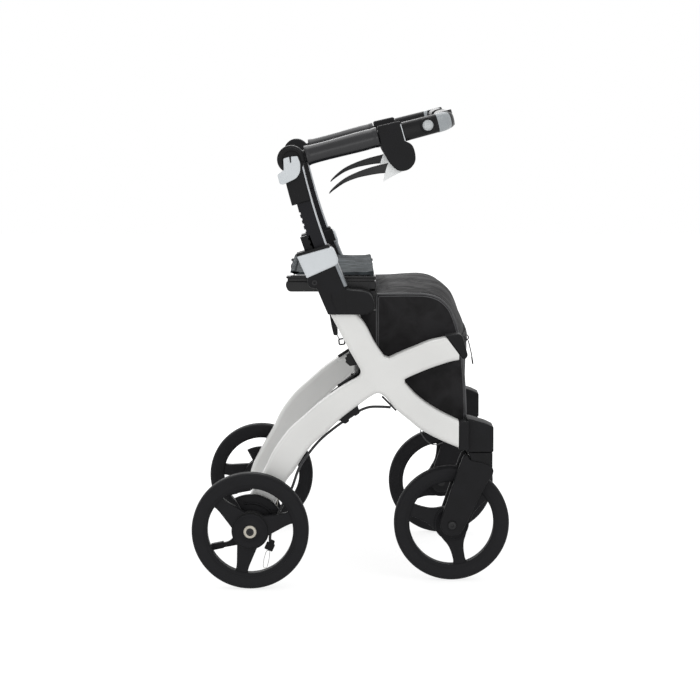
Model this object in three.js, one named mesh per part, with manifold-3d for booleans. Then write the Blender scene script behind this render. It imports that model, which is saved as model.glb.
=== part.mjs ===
// Rollator walker: a walking frame on four wheels that folds sideways. Millimetres.
// x runs in the direction of travel from the rear axle, y to the walker's left, z up from the floor.
import * as THREE from "three";
import { mergeVertices } from "three/addons/utils/BufferGeometryUtils.js";
import Module from "manifold-3d";

const wasm = await Module();
wasm.setup();

const degree = Math.PI / 180;

// Driving dimensions
const wheelRadius = 100;
const wheelbase = 346.5;
const sideHalfTrack = 238; // middle plane to the middle of a side frame, its column and its handle
const rearOutset = 47; // from there out to the middle of a rear wheel
const frontInset = 23; // and in to the middle of a front wheel
const foldInset = 38; // and in to the outer pivots of the brace, the seat and the crossbar
const rearHalfTrack = sideHalfTrack + rearOutset;
const frontHalfTrack = sideHalfTrack - frontInset;
const foldHalfSpan = sideHalfTrack - foldInset;
const hubHeight = 467; // floor to the underside of a hub housing
const braceHeight = 348;
const columnArcRadius = 1200;
const columnFoot = 164.5; // rear axle to the column's middle line at the hub's underside
const columnLean = 25.8 * degree; // from upright, at the hub's underside
const handleSlope = 14.6 * degree;
const foldAngle = 72 * degree;
const clearance = 0.3; // between pieces that touch
const runningGap = 0.5; // round pieces that slide or turn in others
const overrun = 5; // how far a cutting shape passes the face that it cuts
const weld = 0.001; // corners closer than this are one
const roundSteps = 2;
const rodSides = 16;

const mat = (color, roughness, metalness = 0) =>
  new THREE.MeshStandardMaterial({ color, roughness, metalness, flatShading: true });
const frameWhite = mat(0xdededc, 0.35);
const blackPlastic = mat(0x1f1f22, 0.5);
const glossBlack = mat(0x17171a, 0.25);
const greyPlastic = mat(0xc8cccf, 0.4);
const tyreRubber = mat(0x262628, 0.7);
const steel = mat(0xb8b2a4, 0.35, 1);
const darkSteel = mat(0x3a3a3e, 0.4, 1);
const darkAluminium = mat(0x2c2c30, 0.45, 1);
const cloth = mat(0x3c4247, 0.8);
const leatherette = mat(0x1b1b1d, 0.35);

// A closed shape as a solid that can be joined and cut
function solidOf(shape) {
  if (!shape.isBufferGeometry) return shape;
  const bare = shape.clone();
  bare.deleteAttribute("normal");
  bare.deleteAttribute("uv");
  const merged = mergeVertices(bare, weld);
  const vertProperties = merged.attributes.position.array;
  const triVerts = Uint32Array.from(merged.index.array);
  return new wasm.Manifold(new wasm.Mesh({ numProp: 3, vertProperties, triVerts }));
}

function geometryOf(shape) {
  if (shape.isBufferGeometry) return shape;
  const { vertProperties, triVerts, numProp } = shape.getMesh();
  const geometry = new THREE.BufferGeometry();
  geometry.setAttribute("position", new THREE.BufferAttribute(vertProperties, numProp));
  geometry.setIndex(new THREE.BufferAttribute(triVerts, 1));
  return geometry;
}

const join = (...parts) => parts.map(solidOf).reduce((a, b) => a.add(b));
const cut = (body, ...tools) => tools.map(solidOf).reduce((a, b) => a.subtract(b), solidOf(body));

// An outline from corners [x, z, how far from the corner its rounding starts]
function outline(corners) {
  const shape = new THREE.Shape();
  corners.forEach(([x, z, round = 0], i) => {
    const at = new THREE.Vector2(x, z);
    const [before, after] = [-1, 1].map((step) => {
      const [nx, nz] = corners[(i + step + corners.length) % corners.length];
      return new THREE.Vector2(nx, nz).sub(at).setLength(round).add(at);
    });
    if (i) shape.lineTo(before.x, before.y);
    else shape.moveTo(before.x, before.y);
    if (round) shape.quadraticCurveTo(at.x, at.y, after.x, after.y);
  });
  shape.closePath();
  return shape;
}

const rectangle = (x0, x1, z0, z1, round = 0) =>
  outline([[x0, z0, round], [x1, z0, round], [x1, z1, round], [x0, z1, round]]);

// An outline in the xz plane, given a thickness from y = low to y = high, with its edges eased
function slab(shape, low, high, edge = 0) {
  return new THREE.ExtrudeGeometry(shape, {
    depth: high - low - 2 * edge,
    bevelEnabled: edge > 0,
    bevelThickness: edge,
    bevelSize: edge,
    bevelOffset: -edge,
    bevelSegments: 1,
    curveSegments: roundSteps,
  })
    .rotateX(Math.PI / 2)
    .translate(0, high - edge, 0);
}

// A round bar along y, x or z, by the two ends of its length
const rodY = (radius, low, high, sides = rodSides) =>
  new THREE.CylinderGeometry(radius, radius, high - low, sides).translate(0, (low + high) / 2, 0);
const rodX = (radius, low, high, sides = rodSides) => rodY(radius, low, high, sides).rotateZ(-Math.PI / 2);
const rodZ = (radius, low, high, sides = rodSides) => rodY(radius, low, high, sides).rotateX(Math.PI / 2);

// A turned piece about y, from a profile of [radius, y] that runs anticlockwise
function turned(profile, sides, phase = 0) {
  const points = profile.map(([radius, y]) => new THREE.Vector2(radius, y));
  return new THREE.LatheGeometry(points, sides, phase);
}
const ring = (inner, outer, low, high, sides) =>
  turned([[inner, low], [outer, low], [outer, high], [inner, high], [inner, low]], sides);

const sweep = (section, points, steps, segments = 1) =>
  new THREE.ExtrudeGeometry(section, {
    steps,
    curveSegments: segments,
    bevelEnabled: false,
    extrudePath: new THREE.CatmullRomCurve3(points, false, "centripetal"),
  });

// The column's arc: its centre, and a place on it by its rise above the hub's underside
// and its distance behind the middle line
const arcCentre = {
  x: columnFoot + columnArcRadius * Math.cos(columnLean),
  z: hubHeight + columnArcRadius * Math.sin(columnLean),
};
function onColumn(rise, back) {
  const lean = columnLean - rise / columnArcRadius;
  const radius = columnArcRadius + back;
  return [arcCentre.x - radius * Math.cos(lean), arcCentre.z - radius * Math.sin(lean)];
}
function columnBand(low, high, front, back, steps = 6) {
  const rises = Array.from({ length: steps + 1 }, (_, i) => low + ((high - low) * i) / steps);
  return outline([
    ...rises.map((rise) => onColumn(rise, -front)),
    ...rises.reverse().map((rise) => onColumn(rise, back)),
  ]);
}

// Every piece with its name, material, solid and the group that places it
const pieces = [];
const add = (place, name, material, shape) =>
  pieces.push({ place, name, material, geometry: geometryOf(shape) });

// Side frame: two curved struts that cross, with webs in the crotches and a boss on the rear axle.
// Places are shares of the wheelbase and of the rise from the axle to the hub.
const frameThickness = 36;
const strutWidth = 45;
const strutEdge = 8;
const crotchFillet = 16;
const axleBossRadius = 23;
const axleRadius = 5;
const linkBlockReach = 10.5; // front axle forward to the link block
const risingShares = [
  [0, 0], [0.06, 0.13], [0.115, 0.248], [0.162, 0.338], [0.219, 0.414], [0.291, 0.48], [0.392, 0.559],
  [0.479, 0.616], [0.569, 0.668], [0.641, 0.714], [0.736, 0.755], [0.817, 0.793], [0.898, 0.82], [1, 0.841],
];
const fallingShares = [
  [0.447, 1.04], [0.47, 0.997], [0.516, 0.916], [0.57, 0.831], [0.713, 0.643], [0.768, 0.583],
  [0.825, 0.542], [0.967, 0.463], [1.03, 0.433], [1.07, 0.415],
];
const strutPlace = ([along, up]) =>
  new THREE.Vector3(along * wheelbase, -sideHalfTrack, wheelRadius + up * (hubHeight - wheelRadius));
const strutSection = (grow) =>
  rectangle(
    -frameThickness / 2 - grow, frameThickness / 2 + grow,
    -strutWidth / 2 - grow, strutWidth / 2 + grow, strutEdge,
  );
const risingPath = risingShares.map(strutPlace);
const fallingPath = fallingShares.map(strutPlace);
const strutSteps = 14;
const rising = (grow = 0) => sweep(strutSection(grow), risingPath, strutSteps);
const falling = (grow = 0) => sweep(strutSection(grow), fallingPath, strutSteps);

// Where the struts' middle lines cross, with their directions there
function crossing() {
  const curves = [risingPath, fallingPath].map((p) => new THREE.CatmullRomCurve3(p, false, "centripetal"));
  const samples = 200;
  const [ups, downs] = curves.map((curve) => curve.getPoints(samples));
  let best = { gap: Infinity };
  ups.forEach((a, i) =>
    downs.forEach((b, j) => {
      const gap = a.distanceTo(b);
      if (gap < best.gap) best = { gap, at: a, i, j };
    }),
  );
  const flat = (v) => new THREE.Vector2(v.x, v.z);
  return {
    at: flat(best.at),
    up: flat(curves[0].getTangent(best.i / samples)).normalize(),
    down: flat(curves[1].getTangent(best.j / samples)).normalize(),
  };
}
function crotchWeb() {
  const { at, up, down } = crossing();
  const spread = Math.abs(up.cross(down));
  const ways = [up, down.clone().negate(), up.clone().negate(), down];
  const shape = new THREE.Shape();
  ways.forEach((way, i) => {
    const next = ways[(i + 1) % ways.length];
    const crotch = at.clone().addScaledVector(way.clone().add(next), strutWidth / 2 / spread);
    const start = crotch.clone().addScaledVector(way, crotchFillet);
    const end = crotch.clone().addScaledVector(next, crotchFillet);
    if (i) shape.lineTo(start.x, start.y);
    else shape.moveTo(start.x, start.y);
    shape.quadraticCurveTo(crotch.x, crotch.y, end.x, end.y);
  });
  shape.closePath();
  const half = frameThickness / 2 - strutEdge / 2;
  return slab(shape, -sideHalfTrack - half, -sideHalfTrack + half);
}

// The upper strut's front end is cut on a slant, and a black cap continues it
const capLength = 20;
const capSlant = 9;
const capTaper = 2;
const capEdge = 3;
const upperEnd = risingPath.at(-1);
const upperEndLean = 15 * degree;
const fromUpperEnd = ([along, across, round = 0]) => [
  upperEnd.x + along * Math.cos(upperEndLean) - across * Math.sin(upperEndLean),
  upperEnd.z + along * Math.sin(upperEndLean) + across * Math.cos(upperEndLean),
  round,
];
const capHalf = strutWidth / 2;
const strutCut = outline(
  [
    [capSlant, -capHalf], [capSlant * 2, -capHalf * 2], [capLength * 3, -capHalf * 2],
    [capLength * 3, capHalf * 2], [-capSlant * 2, capHalf * 2], [-capSlant, capHalf],
  ].map(fromUpperEnd),
);
const capShape = outline(
  [
    [capSlant + clearance, -capHalf], [capLength, -capHalf + capTaper, capEdge],
    [capLength, capHalf - capTaper, capEdge], [-capSlant + clearance, capHalf],
  ].map(fromUpperEnd),
);
const frameOuter = sideHalfTrack + frameThickness / 2;
const frameInner = sideHalfTrack - frameThickness / 2;
const capInset = 1;
add("base", "strut_end_cap", blackPlastic,
  slab(capShape, -frameOuter + capInset, -frameInner - capInset, capEdge / 2));

// Column: a curved bar with rack notches on its rear edge, which slides in the hub and the strut
const columnWidth = 26;
const columnThickness = 22;
const columnBelowHub = 47;
const columnTop = 261;
const columnDrop = 45; // travel down from the photographed setting
const pocketSpare = 6;
const notchPitch = 10;
const notchDepth = 4;
const notchShare = 0.45; // of the pitch
const notchesStart = 95;
const notchCount = 10;
const notch = (rise) =>
  slab(
    columnBand(rise, rise + notchPitch * notchShare, notchDepth - columnWidth / 2, columnWidth, 1),
    -sideHalfTrack - columnThickness, -sideHalfTrack + columnThickness,
  );
const columnBar = (low, high, grow = 0) =>
  slab(
    columnBand(low, high, columnWidth / 2 + grow, columnWidth / 2 + grow),
    -sideHalfTrack - columnThickness / 2 - grow, -sideHalfTrack + columnThickness / 2 + grow,
  );
const notches = Array.from({ length: notchCount }, (_, i) => notch(notchesStart + i * notchPitch));
add("base", "column", darkAluminium, cut(columnBar(-columnBelowHub, columnTop), ...notches));
const columnPocket = columnBar(-columnBelowHub - columnDrop - pocketSpare, columnTop, runningGap);

const wide = wheelbase * 2; // past everything that a cutting block has to reach
const aboveHub = slab(
  rectangle(-wide, wide, hubHeight - clearance, wide + hubHeight), -wide, wide);
const aheadOfLink = slab(
  rectangle(wheelbase + linkBlockReach - clearance, wide, 0, wide), -wide, wide);
const rearAxleBore = rodY(axleRadius + clearance, -wide, wide).translate(0, 0, wheelRadius);
add("base", "side_frame", frameWhite,
  cut(
    join(
      cut(falling(), aboveHub, aheadOfLink), cut(rising(), slab(strutCut, -wide, wide)), crotchWeb(),
      rodY(axleBossRadius, -frameOuter, -frameInner, 24).translate(0, 0, wheelRadius),
    ),
    columnPocket, rearAxleBore,
  ));

// Hub housing: a sleeve round the column, an ear in front of it, and a tongue with the pawl behind
const hubOuterWall = 13;
const hubInnerWall = 17;
const hubOuter = sideHalfTrack + columnThickness / 2 + hubOuterWall;
const hubInner = sideHalfTrack - columnThickness / 2 - hubInnerWall;
const sleeveFront = 16;
const sleeveBack = 28;
const shoulderBack = 38;
const shoulderRise = 62;
const sleeveRise = 85;
const earLength = 46.5;
const earHeight = 41;
const earRound = 14;
const hubEdge = 2.5;
const tongueBack = 19;
const pawlBack = 24;
const pawlRise = 126;
const tongueRise = 149;
const tongueHalf = columnThickness / 2;
const belowHub = slab(rectangle(-wide, wide, -wide, hubHeight), -wide, wide);
const sleeve = outline([
  onColumn(-sleeveFront, -sleeveFront), onColumn(sleeveRise, -sleeveFront),
  onColumn(sleeveRise, shoulderBack), onColumn(shoulderRise, shoulderBack),
  onColumn(shoulderRise * 0.7, sleeveBack), onColumn(-sleeveFront, sleeveBack),
]);
const earFront = columnFoot + earLength;
const earTop = hubHeight + earHeight;
const ear = outline([
  [columnFoot, hubHeight], [earFront, hubHeight, earRound],
  [earFront, earTop, earRound], [columnFoot - sleeveFront, earTop],
]);
const tongue = columnBand(sleeveRise - overrun, tongueRise, 0, tongueBack, 2);
const pawl = columnBand(pawlRise, tongueRise, 0, pawlBack, 1);
const hubPocket = columnBar(-columnBelowHub - overrun, columnTop, runningGap);
add("base", "hub_housing", blackPlastic,
  cut(
    join(
      slab(sleeve, -hubOuter, -hubInner, hubEdge), slab(ear, -hubOuter + hubEdge, -hubInner, hubEdge),
      slab(tongue, -sideHalfTrack - tongueHalf, -sideHalfTrack + tongueHalf),
      slab(pawl, -sideHalfTrack - tongueHalf, -sideHalfTrack + tongueHalf),
    ),
    hubPocket, belowHub,
  ));

// Hub collar: a light grey cover round the sleeve's mouth
const collarRise = 125;
const collarFront = 23;
const collarBack = 38;
const collarRound = 9;
const collarEdge = 2;
const collarInnerWall = 8;
const collarLow = sleeveRise + clearance;
const collarInner = sideHalfTrack - columnThickness / 2 - collarInnerWall;
const collarShape = outline([
  [...onColumn(collarLow, -collarFront), collarRound], [...onColumn(collarRise, -collarFront), collarRound],
  onColumn(collarRise, collarBack), onColumn(collarLow, collarBack),
]);
const tonguePocket = slab(
  columnBand(sleeveRise - overrun, tongueRise, 0, tongueBack + runningGap, 2),
  -sideHalfTrack - tongueHalf - runningGap, -sideHalfTrack + tongueHalf + runningGap,
);
add("base", "hub_collar", greyPlastic,
  cut(
    slab(collarShape, -hubOuter - collarEdge, -collarInner, collarEdge),
    hubPocket, tonguePocket,
  ));

// Column casing: a channel over the column's upper part, open in front, with the round knuckle on top
const casingBottom = 197.5;
const casingFront = 9;
const casingBack = 22;
const casingHalf = 17;
const knuckleRise = 278.5;
const knuckleBack = 2.2;
const knuckleRadius = 22;
const knuckleHalf = 18;
const [knuckleX, knuckleZ] = onColumn(knuckleRise, knuckleBack);
const casingPocket = slab(
  columnBand(casingBottom - overrun, columnTop + runningGap, columnWidth, columnWidth / 2 + runningGap),
  -sideHalfTrack - columnThickness / 2 - runningGap, -sideHalfTrack + columnThickness / 2 + runningGap,
);
add("base", "column_casing", blackPlastic,
  cut(
    join(
      slab(columnBand(casingBottom, knuckleRise, casingFront, casingBack), -sideHalfTrack - casingHalf,
        -sideHalfTrack + casingHalf, capEdge),
      rodY(knuckleRadius, -sideHalfTrack - knuckleHalf, -sideHalfTrack + knuckleHalf, 24)
        .translate(knuckleX, 0, knuckleZ),
    ),
    casingPocket,
  ));

// Height trigger: a light grey catch on the knuckle's outer face, in shares of the knuckle's radius
const triggerThickness = 5;
const triggerShares = [
  [-0.64, 0.1], [0.5, 0.36], [0.68, -0.3], [0.68, -0.93, 0.25], [0.42, -1.42, 0.2], [-0.64, -1.88],
  [-0.86, -1.85], [-1.05, -1.13], [-0.55, -0.75, 0.12],
];
add("base", "height_trigger", greyPlastic,
  slab(
    outline(triggerShares.map(([x, z, round = 0]) =>
      [knuckleX + x * knuckleRadius, knuckleZ + z * knuckleRadius, round * knuckleRadius])),
    -sideHalfTrack - knuckleHalf - clearance - triggerThickness, -sideHalfTrack - knuckleHalf - clearance,
  ));

// Seat rail: a black bar on the hub's inner face, with a hook in front that holds the bag
const railRear = 60;
const railFront = 215;
const railBottom = 503;
const railTop = 529;
const railWidth = 24;
const railRound = 14;
const railEdge = 3;
const hookLength = 12;
const hookDrop = 32;
const railOuter = hubInner - clearance;
const railShape = outline([
  [railRear, railBottom, railRound], [railFront, railBottom],
  [railFront, railTop], [railRear, railTop, railEdge],
]);
const hookShape = rectangle(
  railFront - hookLength, railFront, railBottom - hookDrop, railBottom + hookLength);
add("base", "seat_rail", glossBlack,
  join(
    slab(railShape, -railOuter, -railOuter + railWidth),
    slab(hookShape, -railOuter, -railOuter + railWidth),
  ));

// Brace bracket: a plate on the frame's inner face where the struts cross, two ears and a pin
const bracePinRadius = 5;
const braceBossRadius = 13;
const linkThickness = 12;
const braceRear = 178;
const braceWidth = linkThickness * 2 + clearance;
const braceEar = 6;
const bracketPlate = 6;
const bracketRear = 160;
const bracketFront = 213;
const bracketLow = 325;
const bracketHigh = 397;
const bracketCorner = 18;
const bracketFace = frameInner - clearance;
const earBack = frameInner - clearance - bracketPlate / 2;
const earSlab = (x0, x1) =>
  join(
    new THREE.BoxGeometry(x1 - x0, earBack - foldHalfSpan, braceBossRadius * 2)
      .translate((x0 + x1) / 2, -(earBack + foldHalfSpan) / 2, braceHeight),
    rodX(braceBossRadius, x0, x1).translate(0, -foldHalfSpan, braceHeight),
  );
add("base", "brace_bracket", blackPlastic,
  join(
    slab(
      outline([
        [bracketRear, bracketLow, bracketCorner], [bracketFront, bracketLow],
        [bracketFront, bracketHigh, bracketCorner], [bracketRear, bracketHigh, bracketCorner],
      ]),
      -bracketFace, -bracketFace + bracketPlate,
    ),
    earSlab(braceRear - clearance - braceEar, braceRear - clearance),
    earSlab(braceRear + braceWidth + clearance, braceRear + braceWidth + clearance + braceEar),
    rodX(bracePinRadius, braceRear - braceEar / 2, braceRear + braceWidth + braceEar / 2)
      .translate(0, -foldHalfSpan, braceHeight),
  ));

// Caster housing: an upright box that holds the fork's stem, with the block that joins it to the strut
const casterRear = 28.5; // ahead of the front axle
const casterFront = 69.5;
const casterTop = 184; // above the front axle
const casterTopSlope = 14;
const casterBottom = 127;
const casterHalf = 27;
const casterEdge = 2;
const casterRound = 7;
const stemRadius = 8;
const stemReach = 49; // front axle forward to the swivel's axis
const stemTop = 160;
const linkLow = 134;
const linkHigh = 183;
const linkHalf = 16;
add("front", "caster_housing", blackPlastic,
  cut(
    join(
      slab(
        outline([
          [casterRear, casterBottom], [casterFront, casterBottom],
          [casterFront, casterTop - casterTopSlope, casterRound], [casterRear, casterTop, casterRound],
        ]),
        -casterHalf, casterHalf, casterEdge,
      ),
      slab(
        rectangle(linkBlockReach, casterRear + casterRound, linkLow, linkHigh),
        frontHalfTrack - sideHalfTrack - linkHalf, frontHalfTrack - sideHalfTrack + linkHalf,
      ),
    ),
    rodZ(stemRadius + runningGap, casterBottom - overrun, stemTop + runningGap).translate(stemReach, 0, 0),
  ));

// Front fork: two cheeks, a head that clears the wheel, and the stem
const wheelHalf = 13;
const wheelGap = 2;
const cheekInner = wheelHalf + wheelGap;
const cheekOuter = 27;
const forkTop = casterBottom - clearance;
const forkHeadLow = 103;
const forkEndRadius = 22;
const forkInset = 1;
const cheekShares = [
  [-0.285, 0.07], [0.21, 0.868], [0.338, 1, 0.1], [0.698, 1, 0.1], [1, 0.86, 0.1], [0.928, 0.608, 0.3],
  [0.316, 0.016],
];
const cheekOutline = outline(cheekShares.map(([x, z, round = 0]) =>
  [x * casterFront, z * forkTop, round * casterFront]));
const cheek = (low, high) =>
  join(slab(cheekOutline, low, high, casterEdge), rodY(forkEndRadius, low, high, 24));
add("front", "front_fork", blackPlastic,
  cut(
    join(
      cheek(-cheekOuter, -cheekInner), cheek(cheekInner, cheekOuter),
      slab(rectangle(casterRear, casterFront, forkHeadLow, forkTop, casterEdge),
        -cheekOuter + forkInset, cheekOuter - forkInset),
      rodZ(stemRadius, forkHeadLow + overrun, stemTop).translate(stemReach, 0, 0),
    ),
    rodY(axleRadius + clearance, -wide, wide),
  ));

// Wheels: a spoked rim and a tyre with a flat tread
const tyreSides = 32;
const tyreInner = 80;
const rimOuter = tyreInner - clearance;
const rimInner = 73;
const rimHalf = 10;
const spokeHalf = 7;
const hubRadius = 30;
const hubHalf = 12.5;
const spokeAtHub = 17; // half width
const spokeAtRim = 10;
const wallTaper = 2;
const treadHalf = 9;
const treadRound = 6;
const spokeCount = 3;
function rimOf(firstSpoke) {
  const [inner, outer] = [hubRadius / 2, (rimInner + rimOuter) / 2];
  const shape = outline([
    [inner, -spokeAtHub], [outer, -spokeAtRim], [outer, spokeAtRim], [inner, spokeAtHub],
  ]);
  const spokes = Array.from({ length: spokeCount }, (_, i) =>
    slab(shape, -spokeHalf, spokeHalf).rotateY(-firstSpoke - (i * Math.PI * 2) / spokeCount));
  return cut(
    join(
      ring(rimInner, rimOuter, -rimHalf, rimHalf, tyreSides),
      rodY(hubRadius, -hubHalf, hubHalf, 24), ...spokes,
    ),
    rodY(axleRadius + clearance, -wide, wide),
  );
}
function tyreOf(half) {
  const flats = 1 / Math.cos(Math.PI / tyreSides);
  const [inner, outer] = [tyreInner * flats, wheelRadius * flats];
  return turned(
    [
      [inner, -half + wallTaper], [outer - treadRound, -half], [outer, -treadHalf], [outer, treadHalf],
      [outer - treadRound, half], [inner, half - wallTaper], [inner, -half + wallTaper],
    ],
    tyreSides, Math.PI / tyreSides,
  );
}
const rearWheelHalf = 14;
const drumGap = 3;
const frontSpokeAngle = 42 * degree;
const rearSpokeAngle = 18 * degree;
const rolledOn = { front: 46 * degree, rear: 34 * degree }; // the left wheels' spokes from the right ones'
add("front", "front_rim", blackPlastic, rimOf(frontSpokeAngle));
add("front", "front_tyre", tyreRubber, tyreOf(wheelHalf));
add("rear", "rear_rim", blackPlastic, rimOf(rearSpokeAngle));
add("rear", "rear_tyre", tyreRubber, tyreOf(rearWheelHalf));

// Axles: the front one through both cheeks, the rear one from the leg out through the drum brake
const nutRadius = 8;
const nutDepth = 4;
const boltRadius = 11;
const boltDepth = 5;
add("front", "front_axle", darkSteel,
  join(
    rodY(axleRadius, -cheekOuter - nutDepth, cheekOuter + nutDepth),
    rodY(nutRadius, -cheekOuter - clearance - nutDepth, -cheekOuter - clearance, 6),
    rodY(nutRadius, cheekOuter + clearance, cheekOuter + clearance + nutDepth, 6),
  ));
add("rear", "rear_axle", steel,
  join(
    rodY(axleRadius, -rearWheelHalf - boltDepth, rearHalfTrack - sideHalfTrack),
    rodY(boltRadius, -rearWheelHalf - boltDepth, -rearWheelHalf, 20),
  ));

// Drum brake on the leg's outer face, with the kerb pedal behind it
const drumRadius = 44;
const drumOuter = rearHalfTrack - rearWheelHalf - drumGap;
const pedalReach = 67;
const pedalWidth = 10;
const pedalRound = 3;
// From the axle, of its reach
const pedalShares = [[-0.33, -0.28], [-1, -0.48], [-1, -0.6], [-0.33, -0.49]];
const drum = rodY(drumRadius, -drumOuter, -frameOuter - clearance, 28).translate(0, 0, wheelRadius);
const pedal = slab(
  outline(pedalShares.map(([x, z]) => [x * pedalReach, wheelRadius + z * pedalReach, pedalRound])),
  -drumOuter, -drumOuter + pedalWidth,
);
add("base", "drum_brake", blackPlastic, cut(join(drum, pedal), rearAxleBore));

// Brake adjuster on the drum's outer face
const adjusterRear = 24;
const adjusterFront = 42;
const adjusterLow = 60;
const adjusterHigh = 80;
const adjusterDepth = 6;
const adjusterRound = 3;
add("base", "brake_adjuster", blackPlastic,
  slab(rectangle(adjusterRear, adjusterFront, adjusterLow, adjusterHigh, adjusterRound),
    -drumOuter - clearance - adjusterDepth, -drumOuter - clearance));

// Brake cable from the adjuster up along the leg to the lower strut, and the clip that holds it
const cableRadius = 2.3;
const cablePoints = [
  [33, -271.3, 80.4], [33.4, -271.3, 88], [37, -271.3, 105], [45, -270.3, 122], [56, -266.5, 143],
  [70, -264, 168], [84, -259, 205], [102, -250, 231], [127, -246, 262], [150, -246, 279.5],
  [168, -246, 292], [189, -246, 300.5], [208, -246, 306], [224, -246, 307], [236, -246, 309],
].map(([x, y, z]) => new THREE.Vector3(x, y, z));
const cableSteps = 28;
const cableTube = (grow = 0) => {
  const section = new THREE.Shape();
  section.absarc(0, 0, cableRadius + grow, 0, Math.PI * 2);
  return sweep(section, cablePoints, cableSteps, 4);
};
add("base", "brake_cable", blackPlastic, cut(cableTube(), falling(clearance)));
const clipRear = 150;
const clipFront = 186;
const clipLow = 272;
const clipHigh = 330;
const clipHalf = 8;
const clipShares = [[0, 0], [0.44, 0.12], [1, 0.19], [1, 1], [0, 0.57]];
const clipShape = outline(clipShares.map(([x, z]) =>
  [clipRear + x * (clipFront - clipRear), clipLow + z * (clipHigh - clipLow)]));
add("base", "cable_clip", blackPlastic,
  cut(
    slab(clipShape, -sideHalfTrack - clipHalf * 2, -sideHalfTrack), rising(clearance), cableTube(clearance),
  ));

// Handle: its own frame starts at the knuckle, x along the handle, z square to it
const barRadius = 11;
const frontBarRadius = 15.5;
const hingeRadius = 14;
const gripStart = 27;
const gripEnd = 152;
const housingEnd = 196.5;
const frontRun = 74.5; // from the housing to the crossbar's pivot
const hingeAhead = housingEnd + frontRun;
const hingeIn = foldInset;
const cornerEnd = hingeIn - frontBarRadius + clearance;
const cornerRun = 3;
const cornerRadius = cornerEnd - cornerRun;
const tongueThickness = 8;
const tongueInset = 1;
const crossbarPin = 4;
const arcPoint = (angle) =>
  new THREE.Vector3(
    hingeAhead - cornerRadius + cornerRadius * Math.sin(angle),
    cornerRadius - cornerRadius * Math.cos(angle), 0,
  );
const cornerPath = [
  new THREE.Vector3(housingEnd + clearance, 0, 0),
  new THREE.Vector3((housingEnd + hingeAhead - cornerRadius) / 2, 0, 0),
  ...[0, 30, 60, 90].map((turn) => arcPoint(turn * degree)),
  new THREE.Vector3(hingeAhead, cornerEnd, 0),
];
const roundSection = (radius) => {
  const shape = new THREE.Shape();
  shape.absarc(0, 0, radius, 0, Math.PI * 2);
  return shape;
};
const flatPlate = (x0, x1, y0, y1, z0, z1) =>
  new THREE.BoxGeometry(x1 - x0, y1 - y0, z1 - z0).translate((x0 + x1) / 2, (y0 + y1) / 2, (z0 + z1) / 2);
const hingePin = (radius, half) => rodZ(radius, -half, half).translate(hingeAhead, hingeIn, 0);
const reflectorRadius = 9;
const reflectorShare = 0.557; // of the front run
const reflectorAhead = housingEnd + frontRun * reflectorShare;
const reflectorDepth = 3;
const reflectorFloor = -frontBarRadius + reflectorDepth;
const reflectorPocket = rodY(reflectorRadius + clearance, -frontBarRadius * 2, reflectorFloor, 20)
  .translate(reflectorAhead, 0, 0);
add("handle", "handle_bar", blackPlastic,
  cut(
    join(
      rodX(barRadius, knuckleRadius + clearance, housingEnd + overrun),
      sweep(roundSection(frontBarRadius), cornerPath, 10, 7),
      flatPlate(hingeAhead - hingeRadius + tongueInset, hingeAhead + hingeRadius - tongueInset,
        cornerEnd - overrun, hingeIn, -tongueThickness / 2, tongueThickness / 2),
      hingePin(hingeRadius - tongueInset, tongueThickness / 2),
    ),
    hingePin(crossbarPin + clearance, hingeRadius), reflectorPocket,
  ));
add("handle", "reflector", greyPlastic,
  rodY(reflectorRadius, -frontBarRadius - clearance, reflectorFloor - clearance, 20)
    .translate(reflectorAhead, 0, 0));

// Grip: a moulded sleeve over the bar, in shares of its length and radius
const gripRadius = 16;
const gripShares = [[0, 0.9], [0.04, 1], [0.3, 0.96], [0.6, 1], [0.85, 1.05], [1, 0.98]];
add("handle", "grip", glossBlack,
  turned(
    [
      [barRadius + clearance, gripStart],
      ...gripShares.map(([along, radius]) =>
        [gripRadius * radius, gripStart + along * (gripEnd - gripStart)]),
      [barRadius + clearance, gripEnd], [barRadius + clearance, gripStart],
    ],
    20,
  ).rotateZ(-Math.PI / 2));

// Brake housing: a box round the bar with a round lower part, slotted for the lever
const housingHalf = 17;
const housingDisc = 23;
const pivotAhead = 180;
const pivotBelow = 40;
const leverHalf = 6;
const leverRoot = 12;
const leverPin = 3.5;
const leverInset = 1;
const housingRound = 6;
const housingEdge = 1.5;
const housingShape = outline([
  [gripEnd + clearance, housingHalf, housingRound], [housingEnd, housingHalf, housingRound],
  [housingEnd, -pivotBelow], [pivotAhead - housingDisc, -pivotBelow, housingRound],
  [gripEnd + clearance, -housingHalf * 1.2, housingRound],
]);
const leverSlot = flatPlate(gripStart, pivotAhead + leverRoot + leverInset, -leverHalf - runningGap,
  leverHalf + runningGap, -pivotBelow * 3, -pivotBelow + leverRoot + leverInset);
const atPivot = (geometry) => geometry.translate(pivotAhead, 0, -pivotBelow);
add("handle", "brake_housing", blackPlastic,
  join(
    cut(
      join(
        slab(housingShape, -housingHalf, housingHalf, housingEdge),
        atPivot(rodY(housingDisc, -housingHalf, housingHalf, 24)),
      ),
      leverSlot, rodX(barRadius + clearance, gripStart, hingeAhead),
    ),
    atPivot(rodY(leverPin, -housingHalf + leverInset, housingHalf - leverInset)),
  ));

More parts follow.
